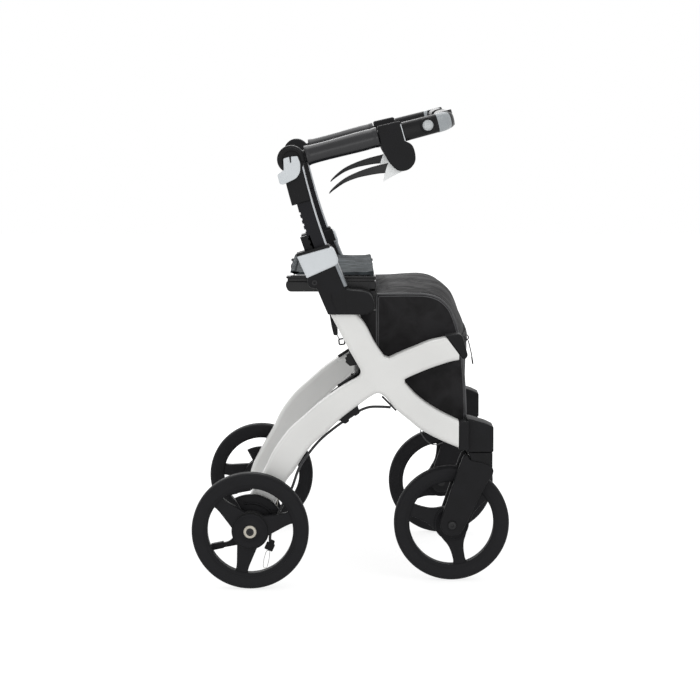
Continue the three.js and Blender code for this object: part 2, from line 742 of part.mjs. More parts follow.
// Brake lever: a curved blade with a wedge under its root, in shares of its reach from the pivot
const leverReach = 131;
const bladeShares = [
  [0, -0.06], [0.17, 0.035], [0.448, 0.026], [0.652, 0.053], [0.85, 0.119], [0.987, 0.199], [1.005, 0.231],
  [0.763, 0.138], [0.58, 0.117], [0.402, 0.122], [0.236, 0.145], [0, 0.08],
];
const wedgeShares = [[0.1, 0.03], [0.22, 0.121], [0.285, 0.257], [0, 0.188], [0, 0.05]];
const leverOutline = (shares) =>
  outline(shares.map(([back, down]) =>
    [pivotAhead - back * leverReach, -pivotBelow - down * leverReach]).reverse());
add("handle", "brake_lever", glossBlack,
  cut(
    join(
      slab(leverOutline(bladeShares), -leverHalf, leverHalf),
      slab(leverOutline(wedgeShares), -leverHalf + leverInset, leverHalf - leverInset),
      atPivot(rodY(leverRoot, -leverHalf, leverHalf)),
    ),
    atPivot(rodY(leverPin + runningGap, -housingHalf, housingHalf)),
  ));

// Crossbar: two halves on pins at the handles' corners, with flat ends that lap at the middle
const crossbarRadius = 14;
const slotShare = 1.25; // of the hinge's radius, so that the tongue's edges pass as the half folds back
const lapThickness = 8;
const lapInset = 2;
const lapReach = (crossbarRadius + lapInset / 2) / Math.tan(Math.PI / 2 - foldAngle);
function crossbar(upper) {
  const mid = sideHalfTrack;
  const [low, high] = upper ? [clearance / 2, lapThickness] : [-lapThickness, -clearance / 2];
  const half = join(
    rodY(crossbarRadius, hingeIn, mid - lapReach, 20).translate(hingeAhead, 0, 0),
    hingePin(hingeRadius, crossbarRadius - lapInset / 2),
    flatPlate(hingeAhead - crossbarRadius + lapInset, hingeAhead + crossbarRadius - lapInset,
      mid - lapReach - overrun, mid, low, high),
    rodZ(crossbarRadius - lapInset, low, high).translate(hingeAhead, mid, 0),
  );
  const slot = hingePin(hingeRadius * slotShare, tongueThickness / 2 + runningGap);
  return join(cut(half, slot), hingePin(crossbarPin, tongueThickness));
}

// The pieces that are alike on both sides, and the few that are not
const placeAt = {
  base: [[0, 0, 0], 0],
  rear: [[0, -rearHalfTrack, wheelRadius], 0],
  front: [[wheelbase, -frontHalfTrack, wheelRadius], 0],
  handle: [[knuckleX, -sideHalfTrack, knuckleZ], -handleSlope],
};
const walker = new THREE.Group();
for (const side of ["right", "left"]) {
  const half = new THREE.Group();
  half.scale.y = side === "right" ? 1 : -1;
  for (const [place, [position, turn]] of Object.entries(placeAt)) {
    const group = new THREE.Group();
    group.position.set(...position);
    group.rotation.y = turn;
    const halfCrossbar = () => ({
      place, name: "crossbar", material: blackPlastic, geometry: geometryOf(crossbar(side === "right")),
    });
    const own = place === "handle" ? [halfCrossbar()] : [];
    for (const piece of [...pieces, ...own]) {
      if (piece.place !== place) continue;
      const mesh = new THREE.Mesh(piece.geometry, piece.material);
      mesh.name = piece.name + "_" + side;
      if (side === "left" && piece.name.endsWith("_rim")) mesh.rotation.y = -rolledOn[place];
      group.add(mesh);
    }
    half.add(group);
  }
  walker.add(half);
}
function addMiddle(name, material, shape) {
  const mesh = new THREE.Mesh(geometryOf(shape), material);
  mesh.name = name;
  walker.add(mesh);
}

// Brace links: two bars side by side on the knee pin, with wide bosses on the outer pins
const kneePin = 4;
function braceLink(rear, side, pinned) {
  const front = rear + linkThickness;
  const bar = join(
    new THREE.BoxGeometry(linkThickness, foldHalfSpan, braceBossRadius * 1.7)
      .translate((rear + front) / 2, (side * foldHalfSpan) / 2, braceHeight),
    rodX(braceBossRadius, rear, front).translate(0, 0, braceHeight),
    rodX(braceBossRadius, braceRear, braceRear + braceWidth).translate(0, side * foldHalfSpan, braceHeight),
  );
  const bore = rodX(bracePinRadius + clearance, -wide, wide).translate(0, side * foldHalfSpan, braceHeight);
  const knee = (radius) =>
    rodX(radius, braceRear + linkThickness / 2, braceRear + braceWidth + overrun)
      .translate(0, 0, braceHeight);
  return pinned ? join(cut(bar, bore), knee(kneePin)) : cut(bar, bore, knee(kneePin + clearance));
}
addMiddle("brace_link_right", blackPlastic, braceLink(braceRear, -1, true));
addMiddle("brace_link_left", blackPlastic, braceLink(braceRear + linkThickness + clearance, 1, false));

// Seat: a cloth strip in two halves that fold up along the middle, with piped front and rear edges
const seatRear = 67;
const seatFront = 212;
const seatThickness = 6;
const pipingRadius = 4;
function seatHalf(side) {
  const [near, far] = [clearance, foldHalfSpan - clearance];
  const [y0, y1] = side < 0 ? [-far, -near] : [near, far];
  const low = railTop + clearance;
  const piping = (x) => rodY(pipingRadius, y0, y1, 8).translate(x, 0, low + seatThickness);
  return join(
    flatPlate(seatRear, seatFront, y0, y1, low, low + seatThickness),
    piping(seatRear + pipingRadius), piping(seatFront - pipingRadius),
  );
}
addMiddle("seat_right", cloth, seatHalf(-1));
addMiddle("seat_left", cloth, seatHalf(1));

// Bag: hollow leatherette, hung on the rails' hooks, with the zip's slit across its front
const bagRear = railFront + clearance;
const bagFront = 373;
const bagTop = 499;
const bagBottom = 262;
const bagEdge = 3;
const bagWall = 2.5;
const zipHeight = 415;
const zipGap = 1;
const zipInset = 50; // the zip ends this far in from the bag's sides
const bagShares = [
  [0, 1, 0.06], [0.58, 1, 0.1], [0.82, 0.92, 0.12], [0.93, 0.7], [0.99, 0.4], [1, 0.02, 0.06],
  [0.72, 0.09], [0.44, 0.2], [0.22, 0.35], [0, 0.58, 0.06],
];
const bagSolid = (inset) => {
  const [rear, bottom] = [bagRear + inset, bagBottom + inset];
  const length = bagFront - inset - rear;
  const place = ([along, up, round = 0]) =>
    [rear + along * length, bottom + up * (bagTop - inset - bottom), round * length];
  return slab(outline(bagShares.map(place).reverse()), inset - foldHalfSpan, foldHalfSpan - inset, bagEdge);
};
const zipSlit = flatPlate(
  bagFront - zipInset, bagFront + overrun, zipInset - foldHalfSpan, foldHalfSpan - zipInset,
  zipHeight, zipHeight + zipGap,
);
addMiddle("bag", leatherette, cut(bagSolid(0), bagSolid(bagWall), zipSlit));

// Pull tab: a tapered strap with a small ring, under the rear of the right rail
const tabMiddle = 134;
const tabTop = 22; // width
const tabFoot = 10;
const tabDrop = 77;
const tabLean = 8;
const tabThickness = 3;
const tabRing = 7;
const ringSunk = 1;
const tabHalfTrack = railOuter - railWidth / 2;
const tabHigh = railBottom - clearance;
addMiddle("pull_tab", blackPlastic,
  join(
    slab(
      outline([
        [tabMiddle - tabTop / 2, tabHigh], [tabMiddle + tabTop / 2, tabHigh],
        [tabMiddle + tabLean + tabFoot / 2, tabHigh - tabDrop],
        [tabMiddle + tabLean - tabFoot / 2, tabHigh - tabDrop],
      ].reverse()),
      -tabHalfTrack - tabThickness / 2, -tabHalfTrack + tabThickness / 2,
    ),
    ring(tabRing - tabThickness, tabRing, -tabThickness / 2, tabThickness / 2, 12)
      .translate(tabMiddle + tabLean, -tabHalfTrack, tabHigh - tabDrop - tabRing + ringSunk),
  ));

walker.position.x = -wheelbase / 2;
export default walker;
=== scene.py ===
# A rollator walker that folds sideways, dressed over its CAD frame.
# Metres in Blender; every shape below is worked out in millimetres from the floor under the rear axle.
import math

import bmesh
import bpy
import numpy as np
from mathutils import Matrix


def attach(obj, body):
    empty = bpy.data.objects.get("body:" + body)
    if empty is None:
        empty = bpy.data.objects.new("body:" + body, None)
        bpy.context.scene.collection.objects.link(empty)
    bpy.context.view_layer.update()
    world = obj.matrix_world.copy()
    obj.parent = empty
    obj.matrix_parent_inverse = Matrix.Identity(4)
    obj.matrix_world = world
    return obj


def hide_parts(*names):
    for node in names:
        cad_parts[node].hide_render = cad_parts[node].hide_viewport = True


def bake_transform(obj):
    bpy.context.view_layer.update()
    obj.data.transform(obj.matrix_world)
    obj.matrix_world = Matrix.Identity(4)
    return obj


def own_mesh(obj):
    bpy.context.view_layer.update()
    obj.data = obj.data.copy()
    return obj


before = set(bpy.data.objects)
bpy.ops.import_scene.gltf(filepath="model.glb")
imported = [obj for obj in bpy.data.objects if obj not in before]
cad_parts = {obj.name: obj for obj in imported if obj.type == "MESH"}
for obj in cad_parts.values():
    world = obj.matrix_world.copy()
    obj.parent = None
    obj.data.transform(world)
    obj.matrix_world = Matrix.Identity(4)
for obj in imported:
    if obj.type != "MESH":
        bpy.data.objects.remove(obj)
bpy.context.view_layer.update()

# Camera: square to the walker's right side, a little above the handles, four metres off with a long lens,
# as the catalogue photograph was taken.
camera = bpy.data.objects.new("camera", bpy.data.cameras.new("camera"))
bpy.context.scene.collection.objects.link(camera)
bpy.context.scene.camera = camera
camera.location = (-0.01795, -4.1464, 0.8564)
camera.rotation_euler = (math.radians(83.38), 0, math.radians(-0.22))
camera.data.lens = 118.13
camera.data.sensor_width = 36
camera.data.shift_y = 0.0010


# Brake cables: steel wire in a black PVC sheath, 4.6 mm thick. Each leaves the adjuster on the drum, crosses
# to the leg's outer face and goes into the lower strut behind its clip. It is held all the way.
rear_axle_x = -173.25
cable_radius = 2.3
cable_stops = [
    (33, -271.3, 76), (33.4, -271.3, 88), (37, -271.3, 105), (45, -270.3, 122), (56, -266.5, 143),
    (70, -264, 168), (84, -259, 205), (103, -250, 231.6), (120.5, -246, 251), (138.6, -246, 266.4),
    (155.5, -246, 279.2), (171, -246, 289.5), (186.3, -246, 299.9), (195.3, -246, 304), (205, -246, 306.6),
    (223, -246, 307), (240, -246, 306),
]


def linear(code):
    """An sRGB hex colour as linear red, green, blue and alpha."""
    levels = [int(code[i:i + 2], 16) / 255 for i in (1, 3, 5)]
    return tuple(v / 12.92 if v < 0.04045 else ((v + 0.055) / 1.055) ** 2.4 for v in levels) + (1,)


def node(tree, kind, inputs=None, **settings):
    """Adds a node with its settings, each input set to a value or linked from another node's output."""
    new = tree.nodes.new(kind)
    for name, value in settings.items():
        setattr(new, name, value)
    for socket, value in (inputs or {}).items():
        if isinstance(value, bpy.types.NodeSocket):
            tree.links.new(value, new.inputs[socket])
        else:
            new.inputs[socket].default_value = value
    return new


def finish(name, dark, pale, patch, matt, grain, height, **fixed):
    """A surface whose colour drifts from dark to pale over patches of patch mm and whose roughness drifts
    between the two values of matt with it. grain is the spacing and height the depth of its pits in mm."""
    material = bpy.data.materials.new(name)
    material.use_nodes = True
    tree = material.node_tree
    shader = tree.nodes["Principled BSDF"]
    place = node(tree, "ShaderNodeTexCoord").outputs["Object"]
    drift = node(tree, "ShaderNodeTexNoise", {"Vector": place, "Scale": 1000 / patch, "Detail": 4}).outputs[0]
    spread = node(tree, "ShaderNodeMapRange", {0: drift, 1: 0.3, 2: 0.7, 3: 0, 4: 1}).outputs[0]
    colour = node(tree, "ShaderNodeMix", {0: spread, 6: linear(dark), 7: linear(pale)}, data_type="RGBA")
    tree.links.new(colour.outputs[2], shader.inputs["Base Color"])
    rough = node(tree, "ShaderNodeMapRange", {0: drift, 1: 0.3, 2: 0.7, 3: matt[0], 4: matt[1]}).outputs[0]
    tree.links.new(rough, shader.inputs["Roughness"])
    pits = node(tree, "ShaderNodeTexNoise", {"Vector": place, "Scale": 1000 / grain, "Detail": 2}).outputs[0]
    bump = node(tree, "ShaderNodeBump", {"Height": pits, "Distance": height / 1000, "Strength": 1}).outputs[0]
    tree.links.new(bump, shader.inputs["Normal"])
    for socket, value in fixed.items():
        shader.inputs[socket.replace("_", " ")].default_value = value
    return material


def through(stops, step):
    """A line through the stops: on each stretch the cubic between its two ends whose slopes are those of
    the stops' own parabola, the stops spaced by the square roots of their distances; a point every step mm."""
    stops = np.asarray(stops, float)
    gaps = np.linalg.norm(np.diff(stops, axis=0), axis=1)
    knots = np.concatenate([[0], np.cumsum(np.sqrt(gaps))])
    slopes = np.gradient(stops, knots, axis=0)
    at = np.interp(np.linspace(0, gaps.sum(), int(gaps.sum() / step) + 2),
                   np.concatenate([[0], np.cumsum(gaps)]), knots)
    i = np.clip(np.searchsorted(knots, at, side="right") - 1, 0, len(stops) - 2)
    h = (knots[i + 1] - knots[i])[:, None]
    t = (at - knots[i])[:, None] / h
    return ((2 * t**3 - 3 * t**2 + 1) * stops[i] + (t**3 - 2 * t**2 + t) * h * slopes[i]
            + (3 * t**2 - 2 * t**3) * stops[i + 1] + (t**3 - t**2) * h * slopes[i + 1])


def ellipse(across, up, count=20):
    """Points round an ellipse, by its half sizes."""
    turn = np.arange(count) * 2 * np.pi / count
    return np.stack([across * np.cos(turn), up * np.sin(turn)], 1)


def swept(path, section, up=(0, 1, 0), scale=None, ring=False):
    """A closed section carried along a path: its first axis lies along up, made square to the path, and its
    second square to both. scale is the section's size at each point, and a ring's path closes on itself."""
    path = np.asarray(path, float)
    ahead = np.roll(path, -1, 0) - np.roll(path, 1, 0) if ring else np.gradient(path, axis=0)
    ahead /= np.linalg.norm(ahead, axis=1, keepdims=True)
    side = np.cross(ahead, np.asarray(up, float))
    side /= np.linalg.norm(side, axis=1, keepdims=True)
    first = np.cross(side, ahead)
    size = np.ones(len(path)) if scale is None else np.asarray(scale, float)
    size = size.reshape(len(path), -1, 1)
    return path[:, None] + size * (section[:, :1] * first[:, None] + section[:, 1:] * side[:, None])


def shell(grid, ring=False, around=True):
    """A grid of points as a surface: four-sided faces between neighbours, each row closed on itself if
    around, the last row joined to the first if ring, and a flat face over each open end otherwise."""
    rows, columns = grid.shape[:2]
    index = np.arange(rows * columns).reshape(rows, columns)
    lids = [] if ring or not around else [index[0].tolist(), index[-1].tolist()]
    if around:
        index = np.hstack([index, index[:, :1]])
    if ring:
        index = np.vstack([index, index[:1]])
    quads = np.stack([index[:-1, :-1], index[:-1, 1:], index[1:, 1:], index[1:, :-1]], -1)
    return grid.reshape(-1, 3), quads.reshape(-1, 4), lids


def piece(name, shells, material, body, slot, stands_for=(), crease=35, cuts=()):
    """One object from shells, in metres: shared corners merged, faces outwards, cut flat along planes given
    by a point and the direction taken away, smooth except where faces turn by more than crease degrees."""
    firsts = np.cumsum([0] + [len(points) for points, _, _ in shells])
    points = np.concatenate([own for own, _, _ in shells]) + (rear_axle_x, 0, 0)
    faces = np.concatenate([quads + first for (_, quads, _), first in zip(shells, firsts)]).tolist()
    faces += [(np.array(lid) + first).tolist() for (_, _, lids), first in zip(shells, firsts) for lid in lids]
    mesh = bpy.data.meshes.new(name)
    mesh.from_pydata((points / 1000).tolist(), [], faces)
    form = bmesh.new()
    form.from_mesh(mesh)
    bmesh.ops.remove_doubles(form, verts=form.verts, dist=2e-6)
    bmesh.ops.dissolve_degenerate(form, edges=form.edges, dist=1e-6)
    for at, away in cuts:
        everything = form.verts[:] + form.edges[:] + form.faces[:]
        bmesh.ops.bisect_plane(form, geom=everything, plane_co=(np.array(at) + (rear_axle_x, 0, 0)) / 1000,
                               plane_no=away, clear_outer=True, dist=1e-7)
        bmesh.ops.holes_fill(form, edges=[e for e in form.edges if e.is_boundary], sides=0)
    bmesh.ops.recalc_face_normals(form, faces=form.faces)
    form.to_mesh(mesh)
    form.free()
    mesh.shade_smooth()
    mesh.set_sharp_from_angle(angle=math.radians(crease))
    thing = bpy.data.objects.new(name, mesh)
    bpy.context.scene.collection.objects.link(thing)
    mesh.materials.append(material)
    if body:
        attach(thing, body)
    if stands_for:
        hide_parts(*stands_for)
    return thing


def both_sides(name, shells, material, body, slot, stands_for=(), cuts=(), **more):
    """The right side's piece, and the left side's, its mirror image across the walker's middle. Shells that
    differ from side to side come by side, drawn on the right."""
    for side, way in (("right", 1), ("left", -1)):
        own = shells[side] if isinstance(shells, dict) else shells
        flipped = [(points * (1, way, 1), quads, lids) for points, quads, lids in own]
        own_cuts = [((x, y * way, z), (a, b * way, c)) for (x, y, z), (a, b, c) in cuts]
        piece(f"{name}_{side}", flipped, material, f"{body}_{side}", slot,
              [f"{each}_{side}" for each in stands_for], cuts=own_cuts, **more)


# Extruded PVC: smooth and slightly greasy, so a thin bright line runs along each cable.
sheath_pvc = finish("sheath_pvc_extruded", "#161618", "#1d1d20", 12, (0.34, 0.44), 3, 0.01,
                    Specular_IOR_Level=0.4)
both_sides("brake_cable", [shell(swept(through(cable_stops, 2.5), ellipse(cable_radius, cable_radius, 12)))],
           sheath_pvc, "frame", "black_plastic", ["brake_cable"])


# Side frames: one white moulding on each side, of glass-filled nylon with a painted gloss. The leg rises from
# the rear axle to the strut end, and the other strut falls from the hub to the front caster.
frame_near, frame_far = -256, -220
frame_edge = 7
leg_and_fall = [
    (137, 466), (153, 436), (169, 405), (182, 382), (188.6, 369), (187, 360.5), (168, 348.5), (151, 338),
    (119, 314.5), (85, 284.5), (70, 271), (54, 252), (38.5, 229), (24, 199.5), (4, 165), (-14, 130),
                (-20.6, 108),
    (-19, 90), (-8, 79), (8, 79), (19, 90), (25, 104), (40, 135), (62.5, 181.5), (73.5, 195), (91, 223.5),
    (106.5, 243), (127.5, 261), (150, 283), (183, 309), (206, 325.5), (216.5, 330.6), (227, 327), (249, 303),
    (273, 283), (290, 269), (324, 250.5), (357, 236.5), (372, 230.5),
]
window_floor = [
    (372, 275), (356, 283), (324, 299), (299, 315), (281, 330), (264.2, 348.6)]
window_roof = [(264, 355), (277, 361.3), (300, 371), (322, 379), (345, 386), (377, 391.5)]
notch_floor = [(348, 430.6), (332, 426.6), (307, 421), (281, 410.6), (256, 400.4), (236.8, 391.4)]
notch_back = [(228.4, 394.4), (219.4, 407), (210, 422), (198, 446), (184, 466)]


def inset(line, depth):
    """A closed line moved to its inner side by depth: each corner goes along its mitre, at most 2.5 depths."""
    ahead = np.roll(line, -1, 0) - line
    ahead /= np.maximum(np.linalg.norm(ahead, axis=1, keepdims=True), 1e-9)
    inward = np.stack([-ahead[:, 1], ahead[:, 0]], 1)
    mitre = inward + np.roll(inward, 1, 0)
    mitre /= np.maximum((mitre * inward).sum(1, keepdims=True), 0.4)
    return line + depth * mitre


def rounded(corners, depth=0.0, steps=5):
    """A closed line from corners (x, z, r), moved to its inner side by depth. Each corner is a quadratic curve
    that starts r from it, or half way to the next corner if that is nearer. Depth takes its tangent of half the
    turn off r at an outer corner, and adds it at an inner one, so that all depths' lines run side by side."""
    places = np.array([c[:2] for c in corners], float)
    if (places[:, 0] * np.roll(places[:, 1], -1) - np.roll(places[:, 0], -1) * places[:, 1]).sum() < 0:
        corners, places = corners[::-1], places[::-1]
    ahead = np.roll(places, -1, 0) - places
    ahead /= np.linalg.norm(ahead, axis=1, keepdims=True)
    back = np.roll(ahead, 1, 0)
    bend = np.arctan2(back[:, 0] * ahead[:, 1] - back[:, 1] * ahead[:, 0], (back * ahead).sum(1))
    at = inset(places, depth)
    length = ((np.roll(at, -1, 0) - at) * ahead).sum(1)
    most = 0.49 * np.minimum(length, np.roll(length, 1))
    line = []
    for corner, here, to, come, turn, room in zip(corners, at, ahead, back, bend, most):
        if len(corner) < 3:
            line.append(here[None])
            continue
        r = max(min(corner[2] - depth * math.tan(turn / 2), room), 0.1)
        t = np.linspace(0, 1, steps + 1)[:, None]
        line.append((1 - t) ** 2 * (here - r * come) + 2 * t * (1 - t) * here + t**2 * (here + r * to))
    return np.concatenate(line)


def plate(shape, low, high, edge=1.0, steps=4):
    """A plate from y = low to y = high, from corners (x, z, r) or a closed line of points in the xz plane. Its
    two rims are quarter rounds of radius edge, and one more ring inside each lets its faces shade flat."""
    if not isinstance(shape, list):
        loop = np.roll(shape, -1, 0)
        shape = shape if (shape[:, 0] * loop[:, 1] - loop[:, 0] * shape[:, 1]).sum() > 0 else shape[::-1]
    turn = np.linspace(0, np.pi / 2, steps + 1)
    depth = np.concatenate([[edge * 1.15], edge * (1 - np.sin(turn))])
    rise = np.concatenate([[0], edge * (1 - np.cos(turn))])
    depths = np.concatenate([depth, depth[::-1]])
    levels = np.concatenate([low + rise, (high - rise)[::-1]])
    rings = np.stack([rounded(shape, d) if isinstance(shape, list) else inset(shape, d) for d in depths])
    return np.insert(rings, 1, levels[:, None], axis=2)


# Painted nylon: smooth satin gloss over a faint ripple from the mould, so the rounded edges stay bright.
painted_nylon = finish("painted_nylon_satin", "#D3D3D1", "#DADAD8", 90, (0.3, 0.36), 18, 0.02,
                       Specular_IOR_Level=0.5, Coat_Weight=0.25, Coat_Roughness=0.18)
frame_line = np.concatenate([through(part, 3) for part in (
    leg_and_fall, window_floor, window_roof, notch_floor, notch_back)] + [np.array([(181, 478), (144, 478)])])
both_sides("side_frame", [shell(plate(frame_line, frame_near, frame_far, frame_edge, 6))], painted_nylon,
           "frame", "frame_white", ["side_frame"], crease=50,
           cuts=[((356.6, 0, 0), (1, 0, 0)), ((362, 0, 390.6), (0.802, 0, 0.597))])


# Strut end caps: black mouldings pushed on the slanted front end of each upper strut.
# Moulded black nylon: a fine spark-eroded grain, drawn at 1.6 mm so that it shows, dull with soft highlights.
grained_nylon = finish("black_nylon_grained", "#121213", "#19191B", 30, (0.46, 0.58), 1.6, 0.02,
                       Specular_IOR_Level=0.13)
both_sides("strut_end_cap", [shell(plate([
    (362.2, 391), (367, 389.4, 3), (372, 395.6, 4), (362, 430, 4), (356.5, 433.4, 3), (333, 430)],
    -255, -221, 2.5))], grained_nylon, "frame", "black_plastic", ["strut_end_cap"])


# Hub housings: black nylon sleeves moulded in one with an ear in front and a flap behind, screwed to the side
# frame. The column slides in the sleeve, and a tongue with the pawl stands up behind it.
arc_centre, arc_radius, foot_lean = np.array([1244.89, 989.28]), 1200, math.radians(25.8)
hub_near, hub_far = -262, -210


def on_column(rise, back):
    """Places on the column's arc, by the rise along it above the hub's underside and the distance behind
    its middle line: the arc's centre less the radius at the lean that is left at that rise."""
    rise, back = np.broadcast_arrays(np.asarray(rise, float), np.asarray(back, float))
    lean = foot_lean - rise / arc_radius
    out = (arc_radius + back)[..., None] * np.stack([np.cos(lean), np.sin(lean)], -1)
    return arc_centre - out


def column_band(low, high, front, back, count=12):
    """The closed line of a stretch of column from rise low to rise high."""
    rises = np.linspace(low, high, count)
    return np.concatenate([on_column(rises, -front), on_column(rises[::-1], back)])


def turned(profile, at, axis=(0, 1, 0), sides=64, first=None):
    """A profile of (radius, distance along the axis) carried round an axis through at."""
    profile = np.asarray(profile, float)
    axis = np.asarray(axis, float) / np.linalg.norm(axis)
    start = np.cross(axis, (0, 0, 1) if abs(axis[2]) < 0.9 else (1, 0, 0)) if first is None else first
    start = np.asarray(start, float) / np.linalg.norm(start)
    turn = np.arange(sides)[:, None] * 2 * np.pi / sides
    spoke = np.cos(turn) * start + np.sin(turn) * np.cross(axis, start)
    return np.asarray(at, float) + profile[:, 1, None, None] * axis + profile[:, 0, None, None] * spoke


def disc(radius, low, high, edge=1.0, steps=3, bore=0.0):
    """The profile of a round plate from low to high, its rims quarter rounds of radius edge."""
    turn = np.linspace(0, np.pi / 2, steps + 1)
    rim = np.stack([radius - edge * (1 - np.sin(turn)), low + edge * (1 - np.cos(turn))], 1)
    flat = [[bore, low], [radius - edge * 1.3, low]]
    half = np.concatenate([flat, rim])
    return np.concatenate([half, (half * (1, -1) + (0, low + high))[::-1]])


sleeve_line = [
    (133, 467, 2), (168, 467), (162.5, 509.5, 3), (145.5, 549.5), (143, 556), (97, 536), (98.5, 517.5, 3),
    (103, 512.5, 3), (114, 511.5, 4), (123, 490, 6)]
ear_line = [
    (150, 467), (198, 466.8, 8), (211, 474, 9), (212.5, 486, 6), (205, 503, 7), (190, 507.5, 5),
            (171, 508.5, 3),
    (158, 513), (146, 500)]
tongue_line = np.concatenate([on_column(np.array([80, 126]), 19), on_column(np.array([126, 149]), 24),
                              on_column(np.array([149, 80]), 6)])
crease_path = through([(137.5, -261.6, 504), (141, -261.6, 487), (149, -261.6, 468)], 3)
hub_shells = [shell(plate(sleeve_line, hub_near, hub_far, 3)),
              shell(plate(ear_line, hub_near + 0.4, hub_far, 3)),
              shell(plate(tongue_line, -249, -227, 1)),
              shell(swept(crease_path, ellipse(1.1, 0.9, 8)))]
both_sides("hub_housing", hub_shells, grained_nylon, "frame", "black_plastic", ["hub_housing"])
# Socket screws of black-oxide steel in the ear and the flap: nearly black, with a small bright rim.
oxide_steel = finish("black_oxide_steel", "#0A0A0C", "#121214", 6, (0.4, 0.5), 1.2, 0.01, Metallic=0.3)
screw = [[0, 1.6], [2.2, 1.6], [2.3, -0.6], [4, -0.6], [4.6, 0], [4.6, 4], [0, 4]]
small_screw = np.array(screw) * (0.6, 1) - (0, 0.4)
both_sides("hub_screws", [shell(turned(small_screw, (196.5, -259.6, 481.6), sides=24)),
                          shell(turned(screw, (110, -262.4, 521.5), sides=24))],
           oxide_steel, "frame", "dark_steel", crease=30)


# Satin aluminium trim: a bent strip set in each sleeve's front edge, mid grey where it faces forwards. The mid
# grey is partly the metal's own and partly a painted highlight of the sleeve's rounded front edge.
trim_and_highlight = finish("aluminium_trim_painted_highlight", "#6B6F72", "#808487", 8, (0.3, 0.42), 1.5, 0.01, Metallic=0.6)
both_sides("hub_trim_highlight", [shell(plate(column_band(44.5, 96, 21.4, -15.4, 16), -262.4, -209.6, 2.2, 4))],
           trim_and_highlight, "frame", "steel")


# Hub collars: light grey ABS covers on the sleeves' mouths, black on the inner side, with a rubber wiper on top.
# Moulded ABS in light grey: an even satin, so its faces read flat and its round corners soft.
grey_abs = finish("grey_abs_satin", "#C4C9CC", "#CCD0D3", 60, (0.36, 0.44), 2.4, 0.012,
                  Specular_IOR_Level=0.45)
both_sides("hub_collar", [shell(plate([
    (97, 529, 2), (152.5, 553.8, 9), (140.8, 583, 9), (80.3, 566, 2)], -264, -224, 3.5))],
    grey_abs, "frame", "grey_plastic", ["hub_collar"])
both_sides("collar_lining", [shell(plate([
    (98, 531, 2), (148, 553.4, 5), (138, 584, 3), (81.3, 566.4, 2)], -225, -216, 2.5))],
    grained_nylon, "frame", "black_plastic")
both_sides("collar_wiper", [shell(plate([
    (80, 565, 1), (137, 581.5, 3), (133, 586.5, 2), (79, 570.6, 1)], -261, -221, 1.2))],
    grained_nylon, "frame", "black_plastic")


# Columns: black anodised aluminium extrusions, bent to a long arc. The rack's notches are milled in the rear
# edge, and a bare strip is left along the front edge, where the wiper runs.
# Anodised aluminium: dark metal with fine lines along the drawing direction, duller than polished.
anodised = finish("anodised_aluminium_black", "#121215", "#18181C", 14, (0.38, 0.5), 2.0, 0.01, Metallic=0.4,
                  Specular_IOR_Level=0.2)
notch_rises = 95 + 10 * np.arange(10)
rack = np.concatenate([on_column(np.repeat([low, low + 4.5], 2),
                                 [12.4, 10.6, 10.6, 12.4]) for low in notch_rises])
column_line = np.concatenate([on_column(np.array([-47.0]), 12.4), rack, on_column(np.array([262.0]), 12.4),
                              on_column(np.linspace(262, -47, 20), -13)])
both_sides("column", [shell(plate(column_line, -249, -227, 0.8, 2))], anodised, "column", "dark_aluminium",
           ["column"], crease=30)
# Drawn aluminium left bare: a bright silver line down the front of each column.
bare_aluminium = finish("drawn_aluminium_bare", "#909396", "#A2A5A8", 9, (0.24, 0.34), 1.5, 0.008,
                        Metallic=1.0)
both_sides("column_strip", [shell(plate(column_band(-40, 274, 15, -12.2, 34), -250, -226, 0.8, 2))],
           bare_aluminium, "column", "steel")

# Column casings: black nylon channels clipped over the columns' upper ends, with the knuckle that the handle
# turns about on top. A hook of the knuckle's outer face holds the height trigger.
knuckle = np.array([71.2, 729.0])
casing_line = column_band(204, 276, 11.6, 20.6, 14)
hook_turn = np.radians(np.linspace(-8, 222, 36))
hook_out = knuckle + 21.2 * np.stack([np.cos(hook_turn), np.sin(hook_turn)], 1)
hook_in = knuckle + 15.4 * np.stack([np.cos(hook_turn[::-1]), np.sin(hook_turn[::-1])], 1)
casing_shells = [
    shell(plate(casing_line, -255, -221, 3)),
    shell(turned(disc(23.4, -18, 18, 3), (70.2, -238, 730.0), sides=72)),
    shell(plate(np.concatenate([hook_out, hook_in]), -259.6, -254, 1.4, 3)),
]
both_sides("column_casing", casing_shells, grained_nylon, "column", "black_plastic", ["column_casing"])

# Height triggers: light grey ABS catches that hang from the knuckles' pins, with a slot for the spring's end.
trigger_line = [
    (57.6, 731.5, 2), (67.6, 734.6, 0.6), (69, 724.6, 0.4), (71, 724.6, 0.4), (70.6, 735, 0.6),
                (81.6, 735.8, 2),
    (86.2, 724, 3), (86, 708.5, 5), (80, 698.5, 5), (57, 687.6, 2), (51.5, 689, 2), (47.5, 704.5, 2),
    (58.5, 712, 2)]
both_sides("height_trigger", [shell(plate(trigger_line, -261.6, -256.4, 1.2, 3))], grey_abs, "trigger",
           "grey_plastic", ["height_trigger"])

# Handle bars: black painted aluminium, straight from the knuckle through the grip and the brake housing, then
# thicker and bent inwards in front, where the crossbar is pinned. Lengths here are along the handle from the
# knuckle, across the walker, and square to both.
handle_slope = math.radians(14.6)
bar_y = -238


def on_handle(grid):
    """Points (along, across, square) of the handle as the walker's, by its slope about the knuckle."""
    along, across, square = np.moveaxis(np.asarray(grid, float), -1, 0)
    return np.stack([knuckle[0] + along * math.cos(handle_slope) - square * math.sin(handle_slope), across,
                     knuckle[1] + along * math.sin(handle_slope) + square * math.cos(handle_slope)], -1)


def squarish(across, up, power, count=36):
    """Points round a superellipse: each of its two shares is a cosine or sine raised to 2 / power."""
    turn = np.arange(count) * 2 * np.pi / count
    share = np.stack([np.cos(turn), np.sin(turn)], 1)
    return np.sign(share) * np.abs(share) ** (2 / power) * (across, up)


